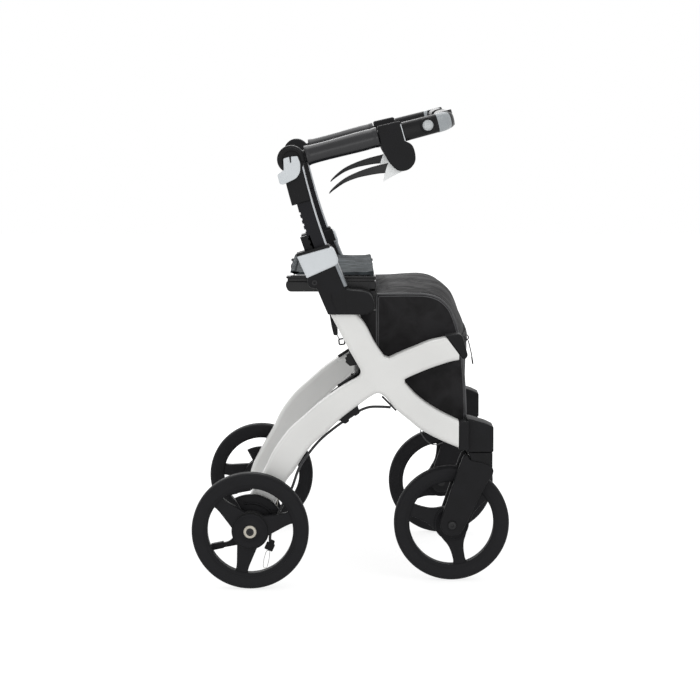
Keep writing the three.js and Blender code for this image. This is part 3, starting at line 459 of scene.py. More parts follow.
def upright(grid):
    """A plate's points with its thickness turned to stand square to the handle."""
    return grid[..., [0, 2, 1]]


# Painted aluminium: black stove enamel, satin, with a long soft highlight along each bar.
enamel = finish("black_enamel_satin", "#111112", "#161618", 40, (0.3, 0.4), 6, 0.012, Specular_IOR_Level=0.16)
bend = np.radians(np.linspace(0, 90, 16))
bend_path = np.stack([251.2 + 19.8 * np.sin(bend), bar_y + 19.8 - 19.8 * np.cos(bend)], 1)
front_path = np.concatenate([[[195.6, bar_y], [210, bar_y], [224, bar_y], [238, bar_y]], bend_path,
                             [[271, -215.4]]])
front_path = np.insert(front_path, 2, -2.3, axis=1)
front_size = np.interp(front_path[:, 0], [196, 262, 271], [1, 0.96, 0.88])
front_bar = swept(front_path, squarish(16.4, 15.6, 2.9), up=(0, 0, 1), scale=front_size)
tongue = upright(plate([(258, -219), (284, -219), (284, -200), (276, -187, 4), (266, -187, 4),
                                (258, -200)], -4, 4, 0.8, 2))
handle_shells = [shell(on_handle(grid)) for grid in (
    front_bar, swept([(14, bar_y, 0), (100, bar_y, 0), (197, bar_y, 0)], ellipse(11, 11, 32), up=(0, 0, 1)),
    tongue)]
both_sides("handle_bar", handle_shells, enamel, "column", "black_plastic", ["handle_bar"])
# The bend carries a light grey band on its outer side, from where it starts to turn to past its middle: a
# painted highlight standing for the lamps' reflection on the black bar's corner.
painted_band_at = (front_path[:, 0] > 253) & (front_path[:, 0] < 267.5)
sleeve = swept(front_path[painted_band_at], squarish(16.9, 16.1, 2.9), up=(0, 0, 1), scale=front_size[painted_band_at])
# Painted highlight in pearl-grey lacquer: darker than the plastics, with a soft vertical gradient from its
# clear coat.
bend_highlight_paint = finish("bend_highlight_painted_grey", "#8C9194", "#979C9F", 30, (0.34, 0.44), 2.0, 0.008,
                       Specular_IOR_Level=0.45, Coat_Weight=0.3, Coat_Roughness=0.2)
both_sides("bend_highlight_band", [shell(on_handle(sleeve))], bend_highlight_paint, "column", "grey_plastic")

# Reflectors: prismatic discs pressed into black rims on the outer faces of the bars.
rim = [[9.3, -2.2], [10.2, -3.4], [12.2, -3.4], [13.2, -2.2], [13.4, 1.5], [9.3, 1.5]]
both_sides("reflector_rim", [shell(on_handle(turned(rim, (238, -252.3, -1.5), sides=56)), ring=True)],
           grained_nylon, "column", "black_plastic")
# Prismatic acrylic: small cells under a clear face, which give it a pale grey sparkle.
prism = bpy.data.materials.new("prismatic_acrylic")
prism.use_nodes = True
tree, shader = prism.node_tree, prism.node_tree.nodes["Principled BSDF"]
place = node(tree, "ShaderNodeTexCoord").outputs["Object"]
cells = node(tree, "ShaderNodeTexVoronoi", {"Vector": place, "Scale": 1000 / 2.2})
level = node(tree, "ShaderNodeMapRange", {0: cells.outputs["Distance"], 1: 0, 2: 0.7, 3: 0, 4: 1}).outputs[0]
colour = node(tree, "ShaderNodeMix", {0: level, 6: linear("#C2C5C6"), 7: linear("#A4A8AA")}, data_type="RGBA")
tree.links.new(colour.outputs[2], shader.inputs["Base Color"])
facets = node(tree, "ShaderNodeBump", {"Height": level, "Distance": 0.0003, "Strength": 0.6}).outputs[0]
tree.links.new(facets, shader.inputs["Normal"])
shader.inputs["Roughness"].default_value = 0.22
shader.inputs["Coat Weight"].default_value = 0.5
both_sides("reflector", [shell(on_handle(turned(
    [[0, -3.1], [5, -2.9], [8.6, -2.3], [9.5, -1.6], [9.5, 1], [0, 1]], (238, -252.3, -1.5), sides=56)))],
    prism, "column", "grey_plastic", ["reflector"])

# Grips: soft rubber sleeves pushed on the bars, slightly swollen for the palm, with a flange at each end.
# Soft-touch rubber: near black, with a broad blue-white sheen along the top.
grip_rubber = finish("grip_rubber_smooth", "#0D0D10", "#131317", 22, (0.26, 0.36), 2.0, 0.012,
                     Specular_IOR_Level=0.4, Coat_Weight=0.15, Coat_Roughness=0.2)
grip_profile = through([(11, 25), (16.6, 25.5), (17.2, 28), (16.5, 32), (15.9, 50), (16.2, 80), (16.9, 110),
                        (17, 130), (16.6, 143), (17.3, 149), (16.9, 151.6), (11, 152.2)], 1.6)
palm = turned(np.stack([grip_profile[:, 0], grip_profile[:, 1]], 1), (0, bar_y, 0), (1, 0, 0), 56)
both_sides("grip", [shell(on_handle(palm))], grip_rubber, "column", "gloss_black", ["grip"])

# Brake housings: two black nylon cheeks over the bar, rounded below round the lever's pivot, with a body
# between them that leaves room for the lever.
housing_line = [
    (154, 18.4, 4), (194.6, 17.2, 4), (195, -18.6, 0.4), (204.4, -26, 8), (206, -40, 10), (203, -56, 12),
    (189, -67, 12), (170, -65, 12), (158, -45, 8), (152.6, -18, 6)]
housing_core = [(154.8, 17, 4), (193.6, 15.8, 4), (194, -17), (191, -26, 2), (156, -24, 2)]
housing_shells = [shell(on_handle(grid)) for grid in (
    plate(housing_line, -255, -245.6, 3.2, 5), plate(housing_line, -230.4, -221, 3.2, 5),
    plate(housing_core, -247, -229, 0.8, 2),
    turned(disc(3.4, -254, -222, 0.5), (180, 0, -40), sides=24))]
both_sides("brake_housing", housing_shells, grained_nylon, "column", "black_plastic", ["brake_housing"])
# A thin light grey line is drawn where the housing's shell meets the front bar: a painted highlight along the
# joint's edge.
joint_highlight_path = on_handle([(193.4, -254.2, 12), (193.8, -254.9, 4), (194, -254.9, -8), (194.2, -254.4, -17.6)])
both_sides("housing_joint_highlight", [shell(swept(through(joint_highlight_path, 2), ellipse(0.8, 0.8, 8)))], grey_abs, "column",
           "grey_plastic")

# Brake levers: black glass-filled blades that curve down from the pivots under the grips, each with a white
# wedge at its root that shows when the parking lock is free.
pivot_along, pivot_square, reach = 180, -40, 131


def on_lever(shares):
    """Places on the lever from shares (back, down) of its reach from the pivot, in the handle's plane."""
    shares = np.asarray(shares, float)
    return np.stack([pivot_along - shares[:, 0] * reach, pivot_square - shares[:, 1] * reach], 1)


blade_top = through([(0.02, 0.0), (0.174, 0.046), (0.256, 0.046), (0.419, 0.047), (0.588, 0.062),
                     (0.764, 0.097),
                     (0.9, 0.155), (0.99, 0.21), (1.014, 0.234)], 0.03)
blade_under = through([(1.008, 0.244), (0.98, 0.228), (0.9, 0.196), (0.78, 0.156), (0.608, 0.136),
                       (0.445, 0.142),
                       (0.33, 0.152), (0.236, 0.165), (0.12, 0.15), (0.02, 0.08)], 0.03)
blade = plate(on_lever(np.concatenate([blade_top, blade_under])), -244, -232, 1.5, 4)
lever_boss = turned(disc(12, -6, 6, 1.2), (pivot_along, bar_y, pivot_square), sides=40)
# Glass-filled nylon: black with a broken satin shine along the moulded edges.
lever_nylon = finish("lever_nylon_satin", "#0E0E10", "#151517", 16, (0.34, 0.44), 1.8, 0.015,
                     Specular_IOR_Level=0.3)
both_sides("brake_lever", [shell(on_handle(blade)), shell(on_handle(lever_boss))], lever_nylon, "lever",
           "gloss_black", ["brake_lever"])
wedge_line = [(0.03, 0.02), (0.152, 0.02), (0.176, 0.052), (0.222, 0.12), (0.248, 0.168), (0.268, 0.215),
              (0.292, 0.266), (0.2, 0.238), (0.1, 0.216), (0.017, 0.2)]
wedge = plate(on_lever(wedge_line), -244.9, -231.1, 0.9, 3)
# White acetal: clean and slightly waxy.
acetal = finish("white_acetal", "#DADCDC", "#E4E6E6", 20, (0.32, 0.4), 3, 0.008, Specular_IOR_Level=0.45)
both_sides("lever_wedge", [shell(on_handle(wedge))], acetal, "lever", "grey_plastic")

# Crossbar: two halves of black enamelled aluminium, pinned in the handle bars' forks and lapped in the middle,
# where they fold back as the walker closes.
lap_start = -46.2
for side, way, low, high in (("right", 1, 0.3, 8), ("left", -1, -8, -0.3)):
    rod = swept(np.array([(271, -186, 0), (271, -120, 0), (271, lap_start, 0)]), squarish(13.9, 13.9, 2.9),
                up=(0, 0, 1))
    lap = upright(plate([(259, -50), (283, -50), (283, -8), (279, 8, 6), (263, 8, 6), (259, -8)],
                        low, high, 0.8, 2))
    ears = [turned(disc(13.8, *levels, 1.6), (271, -200, 0), (0, 0, 1), 48) for levels in ((4.6, 13.9),
                                                                                           (-13.9, -4.6))]
    webs = [upright(plate([(257.4, -184), (257.4, -200), (284.6, -200), (284.6, -184)], *levels, 1.4, 3))
            for levels in ((4.8, 13.7), (-13.7, -4.8))]
    own = [shell(on_handle(grid) * (1, way, 1)) for grid in (rod, lap, *ears, *webs)]
    piece(f"crossbar_{side}", own, enamel, f"crossbar_{side}", "black_plastic", [f"crossbar_{side}"])


# Seat rails: black extrusions screwed to the hubs' inner faces. The seat cloth's welt runs in the groove along
# their sides, and a hook in front carries the bag.
rail_near, rail_far = -209.7, -185.7
rail_body = [(215, 501.6), (215, 519.4), (61, 519.4, 3), (59.5, 512, 4), (64, 501.6, 9)]
rail_lip = [(215, 524.4), (215, 528.4), (61, 528.4, 2), (60.5, 524.4, 2)]
rail_core = [(213, 517), (213, 526), (63, 526), (63, 517)]
rail_hook = [(203, 471, 2), (215, 471, 2), (215, 508), (203, 508)]
rail_shells = [shell(plate(rail_body, rail_near, rail_far, 1.6, 3)),
               shell(plate(rail_lip, rail_near, rail_far, 1.2, 3)),
               shell(plate(rail_core, rail_near + 3, rail_far - 3, 0.5, 1)),
               shell(plate(rail_hook, rail_near, rail_far, 1.5, 3))]
# Gloss-anodised extrusion: black with hard bright lines along its arrises.
gloss_extrusion = finish("gloss_black_extrusion", "#0A0A0B", "#101012", 26, (0.2, 0.3), 9, 0.01,
                         Specular_IOR_Level=0.2)
both_sides("seat_rail", rail_shells, gloss_extrusion, "frame", "gloss_black", ["seat_rail"])

# Seat: one strip of coated polyester, doubled and stitched, with a welted front and rear edge. It hangs between
# the rails and folds up along its middle as the walker closes; this piece is tied to no body and does not fold.
seat_rear, seat_front, seat_top, seat_end = 67, 212, 535.3, 199.6


def seat_skin(across, along):
    """The seat's closed section at shares around it, carried across: a flat strip 5 mm thick whose ends roll
    into welts of 4.2 mm radius, and whose top dips by half a millimetre in slow waves across and along."""
    rear_roll = np.radians(np.linspace(-20, -250, 14))
    front_roll = np.radians(np.linspace(70, -160, 14))
    rear = np.stack([seat_rear + 4.2 + 4.2 * np.cos(rear_roll + np.pi),
                     3 + 4.2 * np.sin(rear_roll + np.pi)], 1)
    front = np.stack([seat_front - 4.2 + 4.2 * np.cos(front_roll), 3 + 4.2 * np.sin(front_roll)], 1)
    flat = np.stack([seat_rear + 12 + (seat_front - seat_rear - 24) * along, np.full(len(along), 5.4)], 1)
    under = flat[::-1] * (1, 0) + (0, 0.4)
    section = np.concatenate([flat, front, under, rear])
    grid = np.zeros((len(across), len(section), 3))
    grid[..., 0] = section[:, 0]
    grid[..., 1] = across[:, None]
    wave = (np.sin(section[None, :, 0] / 9 + 3 * np.sin(across[:, None] / 47))
            * np.cos(across[:, None] / 26 + section[None, :, 0] / 31))
    inner = np.clip((section[:, 0] - seat_rear - 10) / 14, 0,
                    1) * np.clip((seat_front - 10 - section[:, 0]) / 14, 0, 1)
    grid[..., 2] = seat_top - 5.8 + section[:, 1] + 0.55 * wave * inner
    return grid


# Coated polyester: a dark grey plain weave under a polyurethane film, so it turns pale where it is seen at a
# low angle. Its creases are 12 to 40 mm apart, and the weave of 0.5 mm is drawn at 1.5 mm so that it shows.
seat_cloth = bpy.data.materials.new("coated_polyester_weave")
seat_cloth.use_nodes = True
tree, shader = seat_cloth.node_tree, seat_cloth.node_tree.nodes["Principled BSDF"]
place = node(tree, "ShaderNodeTexCoord").outputs["Object"]
folds = node(tree, "ShaderNodeTexNoise",
             {"Vector": place, "Scale": 34, "Detail": 5, "Distortion": 0.6}).outputs[0]
level = node(tree, "ShaderNodeMapRange", {0: folds, 1: 0.34, 2: 0.66, 3: 0, 4: 1}).outputs[0]
colour = node(tree, "ShaderNodeMix", {0: level, 6: linear("#2E3234"), 7: linear("#454B4E")}, data_type="RGBA")
tree.links.new(colour.outputs[2], shader.inputs["Base Color"])
warp = node(tree, "ShaderNodeTexWave", {"Vector": place, "Scale": 1000 / 1.5 / 6.3}, bands_direction="X")
weft = node(tree, "ShaderNodeTexWave", {"Vector": place, "Scale": 1000 / 1.5 / 6.3}, bands_direction="Y")
weave = node(tree, "ShaderNodeMath", {0: warp.outputs[1], 1: weft.outputs[1]}, operation="MAXIMUM").outputs[0]
threads = node(tree, "ShaderNodeBump", {"Height": weave, "Distance": 0.00012, "Strength": 0.5}).outputs[0]
creases = node(tree, "ShaderNodeBump",
               {"Height": folds, "Distance": 0.006, "Strength": 0.8, "Normal": threads})
tree.links.new(creases.outputs[0], shader.inputs["Normal"])
rough = node(tree, "ShaderNodeMapRange", {0: level, 1: 0, 2: 1, 3: 0.86, 4: 0.76}).outputs[0]
tree.links.new(rough, shader.inputs["Roughness"])
shader.inputs["Specular IOR Level"].default_value = 0.2
strip = seat_skin(np.linspace(-seat_end, seat_end, 121), np.linspace(0, 1, 40))
seat = piece("seat", [shell(strip)], seat_cloth, None, "seat_cloth", ["seat_right", "seat_left"])
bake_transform(seat)


# Bag: a soft box of leatherette hung on the rails' hooks in front of the seat, sewn with piping round both side
# panels. It carries nothing, so its front sags a little and its panels pull in between the seams.
bag_side_line = np.concatenate([
    through([(217, 496.6), (250, 497.4), (281, 497.4), (304, 496), (325, 489), (342, 472.5), (352, 450),
             (360, 420), (366, 380), (370, 330), (371.5, 290), (371, 269)], 5),
    through([(368, 263), (329, 284.5), (285, 310), (250, 345), (218, 397)], 5),
    np.linspace((215.6, 403), (215.6, 493), 19),
])
bag_middle = np.array([300.0, 402.0])
bag_end = 199.0


def resampled(line, count):
    """A closed line at evenly spaced places along its length."""
    loop = np.concatenate([line, line[:1]])
    length = np.concatenate([[0], np.cumsum(np.linalg.norm(np.diff(loop, axis=0), axis=1))])
    at = np.arange(count) * length[-1] / count
    return np.stack([np.interp(at, length, loop[:, 0]), np.interp(at, length, loop[:, 1])], 1)


def bag_skin(line, stations=81, rings=26):
    """Rings round the bag from the middle of one side panel to the other. On a panel the line shrinks to the
    middle and dips inwards by up to 5 mm, with puckers that die away from the seam. Between the panels it
    swells by up to 14 mm above and 17 in front, least at the seams, with long waves on that."""
    share = np.linspace(0, 1, rings) ** 0.75
    turn = np.arange(len(line)) * 2 * np.pi / len(line)
    panel = bag_middle + share[:, None, None] * (line - bag_middle)
    dip = -5 * np.cos(share * np.pi / 2)[:, None] + 0.35 * np.sin(23 * turn + 2 * np.sin(5 * turn)) * (
        np.exp(-((share - 0.93) / 0.07) ** 2)[:, None])
    depth = bag_end + np.minimum(dip, 1.2) - 3 * np.clip((share - 0.96) / 0.04, 0, 1)[:, None] ** 2
    near = np.insert(panel, 1, -depth, axis=2)
    far = np.insert(panel, 1, depth, axis=2)[::-1]
    across = np.linspace(-bag_end + 6, bag_end - 6, stations)
    out = (line - bag_middle) / np.linalg.norm(line - bag_middle, axis=1, keepdims=True)
    slack = np.cos(across / bag_end * np.pi / 2)[:, None] ** 0.7
    wave = (1.6 * np.sin(across[:, None] / 31 + 2.2 * np.sin(turn * 3)) * np.sin(turn * 4 + across[:,
                                                                                                   None] / 60)
            + 0.8 * np.sin(across[:, None] / 13 + 5 * np.sin(turn * 2)))
    belly = 8 + 9 * np.exp(-((line[:, 1] - 405) / 45) ** 2) - 5 * (line[:, 1] < 340)
    swell = slack * (14 * np.clip(out[:, 1], 0, 1) ** 2 * np.clip((line[:, 0] - 217) / 26, 0, 1)
                     + belly * np.clip(out[:, 0], 0, 1) + wave * 0.8)
    middle = line + swell[:, :, None] * out
    body = np.insert(middle, 1, across[:, None], axis=2)
    return np.concatenate([near, body, far])


# Leatherette: a PVC film with a fine pebble grain, drawn at 2.5 mm so that it shows, over knitted cloth. It is
# black with a soft grey shine where it creases or is seen at a low angle.
leatherette = bpy.data.materials.new("leatherette_pvc_grained")
leatherette.use_nodes = True
tree, shader = leatherette.node_tree, leatherette.node_tree.nodes["Principled BSDF"]
place = node(tree, "ShaderNodeTexCoord").outputs["Object"]
folds = node(tree, "ShaderNodeTexNoise",
             {"Vector": place, "Scale": 26, "Detail": 4, "Distortion": 0.8}).outputs[0]
level = node(tree, "ShaderNodeMapRange", {0: folds, 1: 0.35, 2: 0.65, 3: 0, 4: 1}).outputs[0]
colour = node(tree, "ShaderNodeMix", {0: level, 6: linear("#100F10"), 7: linear("#1A191B")}, data_type="RGBA")
tree.links.new(colour.outputs[2], shader.inputs["Base Color"])
pebbles = node(tree, "ShaderNodeTexVoronoi", {"Vector": place, "Scale": 1000 / 2.5}, feature="SMOOTH_F1")
grain = node(tree, "ShaderNodeBump", {"Height": pebbles.outputs[0], "Distance": 0.0001, "Strength": 0.6})
level_of = node(tree, "ShaderNodeSeparateXYZ", {0: place}).outputs[1]
inside = node(tree, "ShaderNodeMath", {0: level_of}, operation="ABSOLUTE").outputs[0]
loose = node(tree, "ShaderNodeMapRange", {0: inside, 1: 0.196, 2: 0.186, 3: 0.1, 4: 0.7}).outputs[0]
creases = node(tree, "ShaderNodeBump", {"Height": folds, "Distance": 0.007, "Strength": loose,
                                        "Normal": grain.outputs[0]})
tree.links.new(creases.outputs[0], shader.inputs["Normal"])
rough = node(tree, "ShaderNodeMapRange", {0: level, 1: 0, 2: 1, 3: 0.78, 4: 0.66}).outputs[0]
tree.links.new(rough, shader.inputs["Roughness"])
shader.inputs["Specular IOR Level"].default_value = 0.24
bag_line = resampled(bag_side_line, 180)
gusset = plate([(185, 467.5, 3), (219.6, 467.5), (222, 398), (211, 400, 2)], -bag_end + 1, -bag_end + 3,
               0.8, 2)
gussets = [shell(gusset), shell(gusset * (1, -1, 1))]
bag = piece("bag", [shell(bag_skin(bag_line)), *gussets], leatherette, "frame_right", "leatherette", ["bag"])


def folded(thing):
    """Gives the bag or a piece sewn on it a mesh of its own."""
    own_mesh(thing)


folded(bag)
# Piping: leatherette rolled over a cord of 4 mm and sewn in at both panels' rims, with a second row of
# stitching beside it on the panel.
# Rolled film: the same leatherette stretched smooth over the cord, but painted a lighter grey than the bag: a
# painted sheen that draws the thin light line along each seam, on top of its own gloss.
piping_painted_sheen = finish("leatherette_piping_painted_sheen", "#343436", "#404042", 12, (0.3, 0.42), 1.6, 0.012,
                     Specular_IOR_Level=0.5)
seam_line = bag_middle + (bag_line - bag_middle) * 0.955
for side, way in (("right", -1), ("left", 1)):
    rim = np.insert(bag_middle + (bag_line - bag_middle) * 0.992, 1, way * (bag_end - 2.6), axis=1)
    row = np.insert(seam_line, 1, way * (bag_end - 0.5), axis=1)
    trim = piece(f"bag_piping_{side}", [shell(swept(rim, ellipse(2.1, 2.1, 10), ring=True), ring=True),
                                        shell(swept(row, ellipse(0.7, 0.9, 6), ring=True), ring=True)],
                 piping_painted_sheen, "frame_right", "leatherette")
    folded(trim)

# Zip: a nylon coil on black tape across the bag's front, with a cast slider and a cord pull at the near end.
zip_height = 415
# Woven tape: matt black with a fine rib along the coil.
zip_tape = finish("zip_tape_woven", "#101011", "#1A1A1B", 5, (0.7, 0.8), 1.2, 0.05, Specular_IOR_Level=0.2)
across = np.linspace(-186, 186, 120)
tape_section = np.array([(-9, -0.4), (9, -0.4), (9, 0.9), (3, 1.1), (2.4, 2), (-2.4, 2), (-3, 1.1),
                         (-9, 0.9)])
slack = np.cos(across / bag_end * np.pi / 2) ** 0.7
tape_path = np.stack([362.4 + 16.8 * slack, across, np.full(len(across), zip_height)], 1)
tape = piece("bag_zip", [shell(swept(tape_path, tape_section, up=(-0.2, 0, 0.98)))], zip_tape, "frame_right",
             "black_plastic")
folded(tape)
slider = [shell(plate([(366, 420, 2), (366, 409, 2), (371, 407.5, 2), (374, 411, 2), (374, 418, 2),
                               (371, 421, 2)], -166, -158, 1, 2)),
          shell(swept(through([(370, -162, 420), (375, -162, 421.5), (377.5, -162, 417), (375.5, -162, 413.5),
                               (372, -162, 411)], 1), ellipse(1, 1, 8)))]
# Cast zinc with black enamel, chipped to a dull shine on its arrises.
enamelled_zinc = finish("zinc_black_enamel", "#19191B", "#242427", 3, (0.3, 0.42), 1, 0.01, Metallic=0.4)
folded(piece("zip_slider", slider, enamelled_zinc, "frame_right", "dark_steel"))
pull = swept(through([(377, -162, 412), (379.5, -162, 402), (382.5, -162, 389), (385, -162, 375)], 1.5),
             ellipse(3.0, 0.9, 10), up=(0, 1, 0))
pull_end = plate([(382.2, 383, 1), (384.4, 383, 1), (386.4, 371, 1), (384, 370.6, 1)], -165.5, -158.5, 0.8, 2)
folded(piece("zip_pull", [shell(pull), shell(pull_end)], zip_tape, "frame_right", "black_plastic"))

# Pull tab: a tapered strap of black webbing under the right rail, with a thin cord and a square ring, which
# releases the seat when the walker is folded.
strap = plate([(126, 502.6), (146, 502.6), (149.6, 425.4, 3), (142.4, 424.6, 3), (138.6, 440), (135.4, 459)],
              -198.9, -196.5, 0.6, 2)
tab_cord = swept(through([(147, -197.7, 427), (149, -197.7, 424), (152, -197.7, 418)], 1),
                 ellipse(0.7, 0.7, 8))
tab_ring = swept(np.insert(resampled(rounded([(151, 418, 2), (160.6, 419.4, 2), (161.4, 409.6, 2),
                                              (152, 408.6, 2)]),
                                     32), 1, -197.7, axis=1), ellipse(1.1, 1.3, 8), ring=True)
# Nylon webbing: ribbed every 1.4 mm, matt and slightly dusty.
webbing = finish("nylon_webbing_ribbed", "#0F0F10", "#191919", 4, (0.6, 0.75), 1.4, 0.06,
                 Specular_IOR_Level=0.25)
piece("pull_tab", [shell(strap), shell(tab_cord), shell(tab_ring, ring=True)], webbing, "frame_right",
      "black_plastic", ["pull_tab"])


# Knee brace: two black steel links that meet on a pin in the middle and fold upwards, in brackets on the side
# frames' inner faces.
def eased(name, source, material, body, width=0.8):
    """A piece from a CAD node's own solid: its corners merged, its flat faces made whole and its edges rounded
    over by width mm."""
    form = bmesh.new()
    form.from_mesh(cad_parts[source].data)
    bmesh.ops.remove_doubles(form, verts=form.verts, dist=2e-6)
    bmesh.ops.dissolve_limit(form, angle_limit=math.radians(1), verts=form.verts, edges=form.edges)
    edges = [e for e in form.edges if len(e.link_faces) == 2 and e.calc_face_angle(0) > math.radians(32)]
    bmesh.ops.bevel(form, geom=edges, offset=width / 1000, offset_type="OFFSET", segments=2, profile=0.5,
                    affect="EDGES", clamp_overlap=True)
    mesh = bpy.data.meshes.new(name)
    form.to_mesh(mesh)
    form.free()
    mesh.shade_smooth()
    mesh.set_sharp_from_angle(angle=math.radians(35))
    thing = bpy.data.objects.new(name, mesh)
    bpy.context.scene.collection.objects.link(thing)
    mesh.materials.append(material)
    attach(thing, body)
    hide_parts(source)
    return thing


for side in ("right", "left"):
    eased(f"brace_link_detail_{side}", f"brace_link_{side}", enamel, f"brace_{side}", 1.2)
# The brackets are pressed steel: a foot behind the crossing, a stepped tab that shows behind it, a rod along the
# leg's upper edge, and two ears with the link's pin between them.
bracket_near, bracket_far, pin_height = -219.7, -213.7, 348
pin_depth = -200
foot = plate([(190, 340, 4), (213, 336, 3), (213, 396, 6), (186, 396, 4)], bracket_near, bracket_far, 1, 2)
tab = plate([(176, 399.6, 1), (187, 381, 1), (184.5, 377, 1), (170.4, 373.6, 2), (162.4, 380.6, 1),
             (163.6, 384.2, 0.5),
             (161.4, 388, 1), (165.2, 390.6, 0.5), (163, 393.4, 1)], bracket_near, bracket_far, 1, 2)
rod = swept([(149.6, -217, 338.6), (167, -217, 350), (184.6, -217, 361.6), (189, -217, 379)],
            ellipse(2.4, 2.8, 12))
ears = [plate([(low, 337, 1), (low + 6, 337, 1), (low + 6, 357, 1), (low, 357, 1)], bracket_near,
              pin_depth - 8, 1, 2)
        for low in (171.7, 202.6)]
pin = turned(disc(5, 0, 40, 0.6), (170.2, pin_depth, pin_height), (1, 0, 0), 32)
bosses = [turned(disc(11, 0, 6, 1), (low, pin_depth, pin_height), (1, 0, 0), 40) for low in (171.7, 202.6)]
both_sides("brace_bracket", [shell(grid) for grid in (foot, tab, rod, *ears, pin, *bosses)], enamel, "frame",
           "black_plastic", ["brace_bracket"])
# The cable clips are grained nylon hooks screwed under the legs, with teeth along their lower edge.
clip_line = [(149.6, 284, 1), (183.2, 310.2, 1), (187, 296.6, 1), (180, 291.6, 1), (175.4, 293.4, 1),
             (168, 287.6, 1),
             (169, 283, 1), (163.4, 278, 2), (158, 279, 1), (154.9, 283, 1)]
both_sides("cable_clip", [shell(plate(clip_line, -252, -240, 1, 2))], grained_nylon, "frame", "black_plastic",
           ["cable_clip"])
# A black wire runs along each lower strut's underside behind the crossing.
under_wire = swept([(225.3, -246, 325), (237.4, -246, 312.9), (249.4, -246, 300.7)], ellipse(1.8, 1.8, 10))
both_sides("under_wire", [shell(under_wire)], sheath_pvc, "frame", "black_plastic")


# Wheels: solid polyurethane tyres on black spoked rims, 200 mm across. The rear rims run on the axle bolts
# outside the legs, the front ones in forks that swivel.
wheel_high = 100


def tyre(at, half):
    """A closed section carried round the axle: a flat tread, round shoulders with a thin moulding line on each,
    and walls that lean in to the rim."""
    side = [(79.9, half - 2.2), (83, half - 1.6), (90, half - 0.4), (94.6, half), (96, half - 0.3),
            (96.4, half - 1.1), (97, half - 1.0), (98.6, half - 2.6), (99.6, half - 4.6), (100, half - 7),
            (100, 0.4), (99.7, 0)]
    profile = np.array(side + [(r, -y) for r, y in side[-2::-1]])
    return turned(profile, at, sides=112)


def spokes(at, first, width, half, edge=2.2):
    """Three plates from hub to rim: at each radius their half width is read from the pairs of width."""
    radii = np.linspace(width[0][0], width[-1][0], 16)
    halves = np.interp(radii, *np.transpose(width))
    line = np.concatenate([np.stack([radii, halves], 1), np.stack([radii, -halves], 1)[::-1]])
    flat = plate(line, -half, half, edge, 3)
    spoke_faces = []
    for angle in np.radians(first + np.array([0, 120, 240])):
        x = flat[..., 0] * math.cos(angle) - flat[..., 2] * math.sin(angle)
        z = flat[..., 0] * math.sin(angle) + flat[..., 2] * math.cos(angle)
        spoke_faces.append(np.stack([x, flat[..., 1], z], -1) + at)
    return spoke_faces


def rim_shells(at, first, width, half):
    """Rim band, hub and spokes. The band has a rolled lip on each side and the hub a shallow ring groove."""
    band = np.array([(73, -half + 1), (74, -half), (77, -half - 0.9), (79.9, -half - 1.2), (79.9, half + 1.2),
                     (77, half + 0.9), (74, half), (73, half - 1)])
    hub = np.array([(0, -12.5), (14, -12.5), (15, -11.9), (26.5, -11.9), (27.5, -12.5), (29, -12.3),
                    (30, -11.3),
                    (30, 11.3), (29, 12.3), (27.5, 12.5), (26.5, 11.9), (15, 11.9), (14, 12.5), (0, 12.5)])
    return ([shell(turned(band, at, sides=96), ring=True), shell(turned(hub, at, sides=72))]
            + [shell(grid) for grid in spokes(at, first, width, 8)])


# Polyurethane: matt charcoal, a little dusty, with a faint shine at the shoulders.
tyre_urethane = finish("tyre_polyurethane_matt", "#161618", "#1C1C1E", 18, (0.54, 0.66), 1.8, 0.03,
                       Specular_IOR_Level=0.14)
# Moulded rim nylon: slightly closer-grained and blacker than the tyre.
rim_nylon = finish("rim_nylon_grained", "#141416", "#1A1A1C", 24, (0.44, 0.54), 1.6, 0.018,
                   Specular_IOR_Level=0.12)
rear_at, front_at = (0, -285, wheel_high), (346.5, -215, wheel_high)
straight_spoke = [(24, 18), (30, 16.8), (36, 15.6), (60, 11), (70, 10.2), (73, 11), (75.5, 13)]
waisted_spoke = [(22, 22), (28, 19), (34, 15.5), (42, 12.6), (52, 11), (64, 10.4), (70, 10.8), (75.5, 13)]
both_sides("rear_tyre", [shell(tyre(rear_at, 14), ring=True)], tyre_urethane, "rear_wheel", "tyre_rubber",
           ["rear_tyre"])
both_sides("rear_rim", {side: rim_shells(rear_at, first, straight_spoke, 10) for side, first in (
    ("right", 18), ("left", 52))}, rim_nylon, "rear_wheel", "black_plastic", ["rear_rim"])
both_sides("front_tyre", [shell(tyre(front_at, 13), ring=True)], tyre_urethane, "front_wheel", "tyre_rubber",
           ["front_tyre"])
both_sides("front_rim", {side: rim_shells(front_at, first, waisted_spoke, 10) for side, first in (
    ("right", 42), ("left", 88))}, rim_nylon, "front_wheel", "black_plastic", ["front_rim"])
# A black ring round each rear hub is painted shade: it stands for the shade in a groove and shows as dark arcs
# across the spokes' roots.
groove_shade_ring = turned([[30.4, -8.4], [32, -8.4], [32, 8.4], [30.4, 8.4]], rear_at, sides=72)
both_sides("hub_groove_shade", [shell(groove_shade_ring, ring=True)], webbing, "rear_wheel", "black_plastic")

# Rear axle bolts: zinc-plated steel with a round head and a six-point socket.
# Zinc plate: warm silver with fine turning rings.
zinc_plate = finish("zinc_plated_steel", "#9A968C", "#B0ACA2", 4, (0.24, 0.36), 1.0, 0.01, Metallic=1.0)
head = [[6.3, -18.2], [6.6, -19.3], [10, -19.3], [11, -18.4], [11, -13.4], [6.3, -13.4]]
both_sides("rear_axle_bolt", [shell(turned(head, rear_at, sides=48), ring=True),
                              shell(turned([[5, -16], [5, 47], [0, 47], [0, -16]], rear_at, sides=24),
                                    ring=True)],
           zinc_plate, "frame", "steel", ["rear_axle"])
socket = [[6.4, -16], [6.4, -18.4], [3.4, -18.2], [3.2, -16.4], [0, -16.4], [0, -14], [6.4, -14]]
both_sides("rear_axle_socket", [shell(turned(socket, rear_at, sides=6), ring=True)], oxide_steel, "frame",
           "dark_steel")

